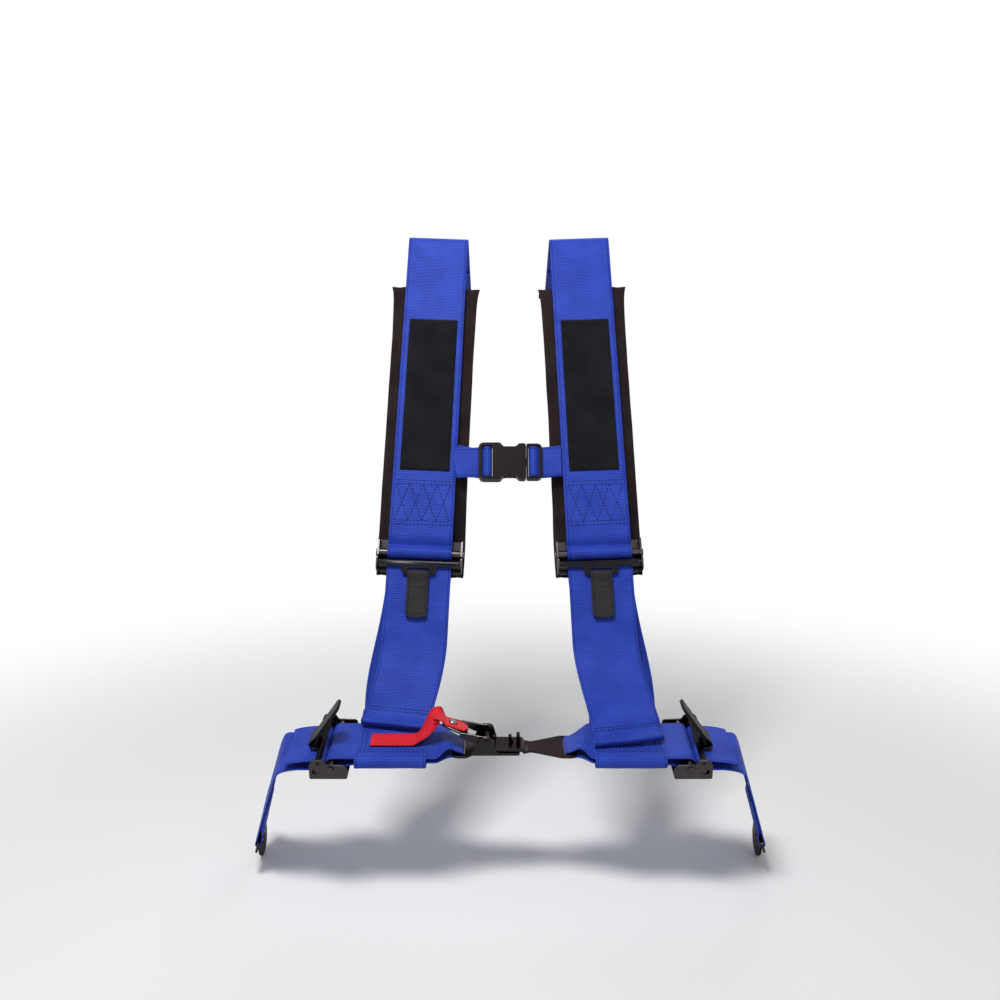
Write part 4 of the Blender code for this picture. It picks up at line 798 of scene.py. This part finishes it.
def rigid(node, finish, bevel, segments=2):
    """The node's own shape with its edges broken, and a paler finish on the bevels: part rubbed wear, part
    painted edge highlight.
    """
    name = node + "_dressed"
    cage = bmesh.new()
    cage.from_mesh(NODES[node].data)
    bmesh.ops.remove_doubles(cage, verts=cage.verts, dist=WELD)
    bmesh.ops.dissolve_limit(cage, angle_limit=FLAT_ANGLE, verts=cage.verts, edges=cage.edges)
    mesh = finished(name, cage)
    mesh.set_sharp_from_angle(angle=EDGE_SHARP)
    obj = piece(name, mesh, finish, BODY_OF[node], [node])
    # The bevels take the paler finish: painted edge highlight, with some rubbed wear
    mesh.materials.append(EDGE_WEAR_AND_HIGHLIGHT_PLASTIC if finish == PLASTIC else EDGE_WEAR_AND_HIGHLIGHT_STEEL)
    edges = obj.modifiers.new("edges", "BEVEL")
    edges.material = 1
    edges.width = bevel
    edges.segments = segments
    edges.limit_method = "ANGLE"
    edges.angle_limit = EDGE_SHARP


# Straps

ROW_PAIR, SEWN_HALF, FRONT_HALF, HEM_HALF, TAB_SEWN_HALF = 0.0045, 0.034, 0.033, 0.035, 0.0105
FRONT_BOX, RETURN_BOX, ANCHOR_BOX, TAB_BOX = (0.034, 0.089), (0.006, 0.050), (0.006, 0.038), (0.017, 0.030)
ZIGZAGS = 4
HEM_RUN, LAP_HEM, LAP_ROWS_IN, TAB_END_ROW = 0.050, (0.0035, 0.0085), 0.028, 0.004
TAIL_WAVES, NARROW_STEP, TAB_STEP = 0.0003, 0.003, 0.0012
# Fine stitches: length, gap and radius
LABEL_STITCH, TAB_STITCH = (0.0026, 0.0009, 0.00028), (0.0024, 0.0008, 0.00028)
# Label patch: its grid, share of its thickness on the flat and at the rim, uneven hand, turned hem and seam
LABEL_COLUMNS, LABEL_RANKS = 18, 56
LABEL_FLAT, LABEL_RIM = 0.82, 0.35
LABEL_PUFF, PUFF_ACROSS, PUFF_ALONG, PUFF_SEED = 0.00012, 55, 40, 3
HEM_RIDGE, HEM_IN, HEM_SPREAD, LABEL_SEAM_IN = 0.00022, 0.0018, 0.0012, 0.0042


def blue_webbing(name, rows, node, **hand):
    ribbon(name, rows, WEB_WIDTH, WEB_T, BLUE, ROOT, "webbing_blue", [node], **hand)


def blue_stitching(name, surface, lines):
    stitching(name, surface, lines, BLUE_THREAD, ROOT, "webbing_blue")


def cross_line(y, half):
    return [(-half, y), (half, y)]


def crossed_box(low, high, half):
    """Two rows across with a cross between them."""
    rows = [cross_line(low, half), cross_line(high, half)]
    return rows + [[(-half, low), (half, high)], [(half, low), (-half, high)]]


def zigzag_box(low, high, half):
    """Zigzags between two double rows, as a bar-tacked join has."""
    bottom, top = low + ROW_PAIR, high - ROW_PAIR
    lines = [cross_line(y, half) for y in (low, bottom, top, high)]
    places = [-half + 2 * half / ZIGZAGS * k for k in range(ZIGZAGS + 1)]
    zig = [(x, bottom if k % 2 else top) for k, x in enumerate(places)]
    zag = [(x, top if k % 2 else bottom) for k, x in enumerate(places)]
    return lines + [zig, zag]


def shoulder_strap(side):
    rows = even_rows(upper_path(side))
    blue_webbing(f"{side}_upper_webbing", rows, f"{side}_upper_shoulder_strap")
    front = on_plane(shoulder_frame(side), WEB_T / 2)
    blue_stitching(f"{side}_upper_stitching", front, zigzag_box(*FRONT_BOX, FRONT_HALF))
    rear = crossed_box(*RETURN_BOX, SEWN_HALF)
    blue_stitching(f"{side}_return_stitching", on_rows(rows, WEB_T / 2), rear)
    near, far = [rows[-1][3] - y for y in ANCHOR_BOX]
    sewn_end = crossed_box(near, far, SEWN_HALF)
    blue_stitching(f"{side}_anchor_stitching", on_rows(rows, -WEB_T / 2), sewn_end)


def label_height(x, y, side, face):
    """Height of one face of the patch over its middle layer."""
    rim = min(LABEL_WIDTH / 2 - abs(x), LABEL_LENGTH / 2 - abs(y))
    flat = face * LABEL_T / 2 * (LABEL_RIM if rim < TINY else LABEL_FLAT)
    if face < 0:
        return flat
    puff = LABEL_PUFF * noise.noise(Vector((x * PUFF_ACROSS, y * PUFF_ALONG, PUFF_SEED * SIDES[side])))
    hem = HEM_RIDGE * exp(-((rim - HEM_IN) / HEM_SPREAD) ** 2)
    return flat + (hem + puff)


def label(side):
    """Bare woven patch with turned edges, sewn on all round."""
    node = f"{side}_label_patch"
    place = shoulder_frame(side) @ moved(0, LABEL_RISE, WEB_T / 2 + CLEAR + LABEL_T / 2)
    half_w, half_l = LABEL_WIDTH / 2, LABEL_LENGTH / 2
    columns = [-half_w + LABEL_WIDTH * k / LABEL_COLUMNS for k in range(LABEL_COLUMNS + 1)]
    ranks = [-half_l + LABEL_LENGTH * k / LABEL_RANKS for k in range(LABEL_RANKS + 1)]
    cage = bmesh.new()
    layers = []
    for face in (1, -1):
        grid = [[Vector((x, y, label_height(x, y, side, face))) for x in columns] for y in ranks]
        layers.append([[cage.verts.new(place @ spot) for spot in row] for row in grid])
    close_sheet(cage, *layers)
    mesh = finished(node, cage)
    obj = piece(f"{side}_label_cloth", mesh, LABEL_CLOTH, ROOT, [node])
    x, y = half_w - LABEL_SEAM_IN, half_l - LABEL_SEAM_IN
    seam = [(-x, -y), (x, -y), (x, y), (-x, y), (-x, -y)]
    face = on_plane(place, LABEL_T / 2 * LABEL_FLAT + STITCH_LIFT)
    stitching(f"{side}_label_stitching", face, [seam], BLACK_THREAD, ROOT, "label_black", *LABEL_STITCH)


def lower_strap(side):
    rows = draped(even_rows(lower_path(side)), side)
    blue_webbing(f"{side}_lower_webbing", rows, f"{side}_lower_shoulder_strap", waves=TAIL_WAVES)
    hem = rows[-1][3] - HEM_RUN
    lines = [cross_line(y, HEM_HALF) for y in (hem, hem - ROW_PAIR, *LAP_HEM)]
    blue_stitching(f"{side}_hem_stitching", on_rows(rows, WEB_T / 2), lines)


def lap_straps(side):
    rows = even_rows(inner_lap_path(side))
    loop = min(rows, key=lambda row: abs(row[0].x))[3]
    start = loop + DRAWN_START
    end = loop + DRAWN_RUN

    def ruck(across, run):
        share = min(max((run - start) / (end - start), 0), 1)
        return LOOP_RUCK * sin(pi * share) ** 2 * cos(pi * LOOP_RUCKS * across)

    blue_webbing(f"{side}_inner_lap_webbing", rows, f"{side}_inner_lap_strap", ruck=ruck)
    far = LAP_ADJUSTER_OUT - LAP_ROWS_IN
    places = [SIDES[side] * x for x in (far, far - ROW_PAIR)]
    lines = [[(x, -SEWN_HALF), (x, SEWN_HALF)] for x in places]
    blue_stitching(f"{side}_lap_stitching", on_plane(LAP, LOOP_R + WEB_T / 2), lines)
    rows = even_rows(outer_lap_path(side))
    blue_webbing(f"{side}_outer_lap_webbing", rows, f"{side}_outer_lap_strap")


def slanted(row, last):
    """The flap in front droops to its end, which is cut on a slant, its upper corner the longer one."""
    p, across, normal, run = row
    share = max(0, 1 - (last[3] - run) / FLAP_RUN)
    return p - across * FLAP_DROOP * share, across + X_AXIS * FLAP_SKEW * share, normal, run


def chest_half(side):
    rows = even_rows(chest_path(side), NARROW_STEP)
    if side == "left":
        rows = [slanted(row, rows[-1]) for row in rows]
    ribbon(f"{side}_chest_webbing", rows, CHEST_WIDTH, CHEST_T, BLUE_NARROW, ROOT, "webbing_blue",
           [f"{side}_chest_strap"])


def pull_tab(kind, side):
    rows = rounded(even_rows(tab_path(kind, side), TAB_STEP), TAB_WIDTH, TAB_CORNER)
    body = f"{side}_{kind}_tab"
    ribbon(f"{body}_webbing", rows, TAB_WIDTH, TAB_T, BLACK_WEB, body, "webbing_black",
           [f"{side}_{kind}_adjuster_pull_tab"])
    near, far = TAB_BOX
    lines = crossed_box(-near, -far, TAB_SEWN_HALF)
    lines.append(cross_line(-TAB_LENGTH + TAB_END_ROW, TAB_SEWN_HALF))
    front = on_plane(tab_frame(kind, side), TAB_T + CLEAR / 2)
    stitching(f"{body}_stitching", front, lines, BLACK_THREAD, body, "webbing_black", *TAB_STITCH)


def release_strap():
    rows = even_rows(release_path(), NARROW_STEP)
    ribbon("red_release_webbing", rows, RELEASE_WIDTH, WEB_T, RED_WEB, "buckle_lever", "webbing_red",
           ["release_strap"])


# Shoulder pads

PAD_AROUND, PAD_STEP, PAD_SWELL = 64, 0.005, 0.0011
PAD_SEAM, PAD_GROOVE, GROOVE_HALF = 0.0460, 0.0011, 0.0024
PAD_CROSS = (15, 30, 45, 60)
PAD_PROFILE = ((1, 0), (PAD_SHOULDER, PAD_SIDE_HEIGHT), (0, 1), (-PAD_SHOULDER, PAD_SIDE_HEIGHT),
               (-1, 0), (-PAD_SHOULDER, -PAD_SIDE_HEIGHT), (0, -1), (PAD_SHOULDER, -PAD_SIDE_HEIGHT))
CURVE_CUTS, SEAM_ENDS = 2000, 2
PAD_TUCK, PAD_RUMPLE, RUMPLE_ACROSS, RUMPLE_ALONG, RUMPLE_SEED = 0.0007, 0.0005, 70, 26, 5
# The pad's front under the strap: how deep and how far past the webbing it goes, and its share of the swell
HELD_DEPTH, HELD_PAST, HELD_SHARE = 0.012, 0.004, 0.15
CLOTH_FRAMES = 16
CLOTH = {"quality": 6, "mass": 0.15, "tension_stiffness": 20, "compression_stiffness": 12,
         "bending_stiffness": 0.6, "use_pressure": True, "uniform_pressure_force": 4.0}


def blown_up(mesh):
    """Where each point of the skin goes when the filling presses on it from inside."""
    holder = linked("cloth", mesh)
    cloth = holder.modifiers.new("cloth", "CLOTH")
    for key, value in CLOTH.items():
        setattr(cloth.settings, key, value)
    cloth.settings.effector_weights.gravity = 0.0
    cloth.point_cache.frame_start = 1
    cloth.point_cache.frame_end = CLOTH_FRAMES
    scene = bpy.context.scene
    for k in range(1, CLOTH_FRAMES + 1):
        scene.frame_set(k)
    bpy.context.view_layer.update()
    graph = bpy.context.evaluated_depsgraph_get()
    made = bpy.data.meshes.new_from_object(holder.evaluated_get(graph), depsgraph=graph)
    points = [v.co.copy() for v in made.vertices]
    bpy.data.objects.remove(holder)
    bpy.data.meshes.remove(made)
    scene.frame_set(1)
    return points


def smooth_curve(corners, place, closed):
    """Point on the smooth curve that a run of corners draws, with place counted in corners."""
    first = floor(place)
    t = place - first
    weights = ((1 - t) ** 3, 3 * t ** 3 - 6 * t ** 2 + 4, -3 * t ** 3 + 3 * t ** 2 + 3 * t + 1, t ** 3)
    picks = [first - 1, first, first + 1, first + 2]
    if closed:
        picks = [k % len(corners) for k in picks]
    else:
        picks = [min(max(k, 0), len(corners) - 1) for k in picks]
    return [sum(w * corners[k][axis] for w, k in zip(weights, picks)) / 6 for axis in range(len(corners[0]))]


def pad_rows():
    """Cross sections of the pad at even steps along it."""
    spans = len(PAD_ROWS) - 1
    fine = [smooth_curve(PAD_ROWS, spans * k / CURVE_CUTS, False) for k in range(CURVE_CUTS + 1)]
    count = round((fine[-1][0] - fine[0][0]) / PAD_STEP)
    rises = [fine[0][0] + (fine[-1][0] - fine[0][0]) * k / count for k in range(count + 1)]
    return [min(fine, key=lambda row: abs(row[0] - rise)) for rise in rises]


def pad_skin(side):
    """Even skin of the pad, and the numbers of its points ring by ring."""
    place = shoulder_frame(side)
    ring = [smooth_curve(PAD_PROFILE, len(PAD_PROFILE) * k / PAD_AROUND, True) for k in range(PAD_AROUND)]
    cage = bmesh.new()
    rings = []
    for rise, depth, half_width, half_height in pad_rows():
        spots = [Vector((u * half_width, rise, depth + v * half_height)) for u, v in ring]
        rings.append([cage.verts.new(place @ spot) for spot in spots])
    for low, high in zip(rings, rings[1:]):
        for k in range(PAD_AROUND):
            cage.faces.new((low[k - 1], low[k], high[k], high[k - 1]))
    for end in (rings[0], rings[-1]):
        for k in range(PAD_AROUND // 2):
            corners = (end[k], end[k + 1], end[PAD_AROUND - k - 1], end[-k % PAD_AROUND])
            cage.faces.new(dict.fromkeys(corners))
    cage.verts.index_update()
    numbers = [[vert.index for vert in one] for one in rings]
    return finished(f"{side}_pad_skin", cage), numbers


def pad(side):
    """Foam pad: its cloth drawn over the filling, blown out a little and sewn down along a seam."""
    mesh, rings = pad_skin(side)
    inverse = shoulder_frame(side).inverted()
    rest = [v.co.copy() for v in mesh.vertices]
    normals = [v.normal.copy() for v in mesh.vertices]
    for vert, normal in zip(mesh.vertices, normals):
        vert.co -= normal * PAD_TUCK
    swollen = blown_up(mesh.copy())
    crossed = {n for k in PAD_CROSS for n in rings[k][PAD_AROUND // 2 + 1:]}
    for vert, was, now, normal in zip(mesh.vertices, rest, swollen, normals):
        move = now - was
        if move.length > PAD_SWELL:
            move *= PAD_SWELL / move.length
        local = inverse @ was
        uneven = Vector((local.x * RUMPLE_ACROSS, local.y * RUMPLE_ALONG, RUMPLE_SEED * SIDES[side]))
        rumple = PAD_RUMPLE * noise.noise(uneven)
        if local.z > -HELD_DEPTH and abs(local.x) < WEB_WIDTH / 2 + HELD_PAST:
            move *= HELD_SHARE
            rumple = -abs(rumple)
        groove = PAD_GROOVE * exp(-((abs(local.x) - PAD_SEAM) / GROOVE_HALF) ** 2)
        if vert.index in crossed and abs(local.x) < PAD_SEAM:
            groove = PAD_GROOVE
        vert.co = was + move + normal * (rumple - groove)
    mesh.update()
    for face in ("front", "back"):
        for edge, x in (("left", -PAD_SEAM), ("right", PAD_SEAM)):
            seam = seam_points(mesh, rings, inverse, x, face == "back")
            sewn(f"{side}_pad_{face}_{edge}_seam", seam)
    for k in PAD_CROSS:
        half = [mesh.vertices[n] for n in rings[k][PAD_AROUND // 2:]]
        seam = [(v.co, v.normal) for v in half if abs((inverse @ v.co).x) < PAD_SEAM]
        sewn(f"{side}_pad_cross_seam_{k}", seam)
    obj = piece(f"{side}_pad_cloth", mesh, PAD_CLOTH, ROOT, [f"{side}_shoulder_pad"])
    soft = obj.modifiers.new("soft", "SUBSURF")
    soft.levels = 1
    soft.render_levels = 1


def seam_points(mesh, rings, inverse, edge, back):
    """Points and normals along one face of the pad, at the seam's distance from its middle."""
    seam = []
    for ring in rings[SEAM_ENDS:-SEAM_ENDS]:
        half = (ring[PAD_AROUND // 2:] + ring[:1])[::-1] if back else ring[:PAD_AROUND // 2 + 1]
        spots = [(inverse @ mesh.vertices[k].co).x for k in half]
        k = next(k for k in range(len(half) - 1) if spots[k + 1] <= edge <= spots[k])
        share = (spots[k] - edge) / (spots[k] - spots[k + 1])
        a, b = mesh.vertices[half[k]], mesh.vertices[half[k + 1]]
        seam.append((a.co.lerp(b.co, share), a.normal.lerp(b.normal, share).normalized()))
    return seam


def sewn(name, seam):
    """Black stitches along a line of points and normals."""
    rows = []
    run = 0.0
    for point, normal in seam:
        if rows:
            run += (point - rows[-1][0]).length
        rows.append((point.copy(), X_AXIS, normal.copy(), run))
    stitching(name, on_rows(rows, STITCH_LIFT), [[(0, 0), (0, run)]], BLACK_THREAD, ROOT, "pad_black")


# Hardware, with the width of each piece's broken edges

ANCHOR_EDGE, SCREW_EDGE = 0.0004, 0.0003
ADJUSTER_PARTS = (("frame", FRAME_CHROME_PAINTED_REFLECTION, 0.0006), ("crossbar", FRAME_CHROME_PAINTED_REFLECTION, 0.0003),
                  ("lock_bar", FRAME_CHROME_PAINTED_REFLECTION, 0.0003), ("release", LEVER_CHROME_PAINTED_SHADE, 0.0005))
BUCKLE_PARTS = (("latch_plate", 0.0007), ("link_plate", 0.0007), ("buckle_lever", 0.0007),
                ("buckle_pivot_pin", 0.0004))
CHEST_BUCKLE_PARTS = (("socket", 0.0009, 3), ("plug", 0.0009, 3), ("upper_prong", 0.0005, 2),
                      ("lower_prong", 0.0005, 2))


def hardware():
    for side in SIDES:
        for kind in KINDS:
            rigid(f"{side}_{kind}_anchor", BLACK_CHROME, ANCHOR_EDGE)
        for kind in KINDS:
            for part, finish, edge in ADJUSTER_PARTS:
                rigid(f"{side}_{kind}_adjuster_{part}", finish, edge)
    for node, edge in BUCKLE_PARTS:
        rigid(node, BLACK_CHROME, edge)
    rigid("release_screw", SCREW_STEEL, SCREW_EDGE)
    for part, edge, segments in CHEST_BUCKLE_PARTS:
        rigid(f"chest_buckle_{part}", PLASTIC, edge, segments)


# Stage: pale floor, soft light, the photograph's view

FLOOR_DROP, FLOOR_HALF, FLOOR_TONE = 0.0004, 8.0, (0.90, 0.90, 0.90, 1)
FADE_START, FADE_END = 0.45, 1.25
SKY_TONE, SKY_STRENGTH = (0.95, 0.97, 1.0, 1), 0.22
SHOWN_TONE, SHOWN_STRENGTH = (1.0, 1.0, 1.0, 1), 1.0
# Lamps: name, place, target, size and power
LAMPS = (("key", (-0.35, -0.55, 1.80), (0, 0.15, 0.4), (0.6, 0.4), 24),
         ("fill", (0.9, -2.0, 0.9), (0, 0.1, 0.35), (1.2, 1.0), 5),
         ("back", (0.3, 1.9, 1.5), (0, 0.2, 0.35), (1.2, 1.0), 9))
SENSOR, LENS = 36.0, 41.04
CAMERA_PLACE, CAMERA_TURN = (-0.0114, -1.2310, 0.6138), radians(80)


def lamp(name, place, target, size, power):
    data = bpy.data.lights.new(name, "AREA")
    data.shape = "RECTANGLE"
    data.size, data.size_y = size
    data.energy = power
    obj = linked(name, data)
    obj.location = place
    obj.rotation_euler = (Vector(target) - Vector(place)).to_track_quat("-Z", "Y").to_euler()


def shown_rays(tree):
    """1 where the background is looked at, straight, reflected or refracted."""
    rays = added(tree, "LightPath", {}).outputs
    mirrored = calc("MAXIMUM", rays["Is Glossy Ray"], rays["Is Transmission Ray"])
    return calc("MAXIMUM", rays["Is Camera Ray"], mirrored)


def mixed(factor, a, b, output):
    """Sends the mix of two shaders to the output."""
    tree = factor.id_data
    mix = added(tree, "MixShader", {0: factor, 1: a.outputs[0], 2: b.outputs[0]})
    put(tree.nodes[output].inputs["Surface"], mix.outputs[0])


def pale_floor():
    """Floor that fades to plain white away from the part."""
    cage = bmesh.new()
    low = moved(0, 0, CAD_BOX[0][2] - FLOOR_DROP)
    bmesh.ops.create_grid(cage, x_segments=1, y_segments=1, size=FLOOR_HALF, matrix=low)
    mesh = bpy.data.meshes.new("floor")
    cage.to_mesh(mesh)
    cage.free()
    ground = linked("floor", mesh)
    made, tree, bsdf = shader("floor")
    set_inputs(bsdf, {"Base Color": FLOOR_TONE, "Roughness": 0.9})
    away = added(tree, "VectorMath", {0: coordinates(tree)})
    away.operation = "LENGTH"
    far = spread(away.outputs["Value"], FADE_START, FADE_END)
    bright = added(tree, "Emission", {})
    mixed(calc("MULTIPLY", far, shown_rays(tree)), bsdf, bright, "Material Output")
    mesh.materials.append(made)


def sky():
    """Dim light from all round, in front of a white background."""
    world = bpy.data.worlds.new("studio")
    bpy.context.scene.world = world
    world.use_nodes = True
    tree = world.node_tree
    light = tree.nodes["Background"]
    set_inputs(light, {"Color": SKY_TONE, "Strength": SKY_STRENGTH})
    shown = added(tree, "Background", {"Color": SHOWN_TONE, "Strength": SHOWN_STRENGTH})
    mixed(shown_rays(tree), light, shown, "World Output")


def camera():
    data = bpy.data.cameras.new("camera")
    data.sensor_width = SENSOR
    data.lens = LENS
    obj = linked("camera", data)
    obj.location = CAMERA_PLACE
    obj.rotation_euler = (CAMERA_TURN, 0, 0)
    bpy.context.scene.camera = obj
    bpy.context.scene.view_settings.view_transform = "Standard"


def build():
    camera()
    pale_floor()
    sky()
    for one in LAMPS:
        lamp(*one)
    for side in SIDES:
        shoulder_strap(side)
        label(side)
        pad(side)
        lower_strap(side)
        lap_straps(side)
        chest_half(side)
        for kind in KINDS:
            pull_tab(kind, side)
    release_strap()
    hardware()


build()
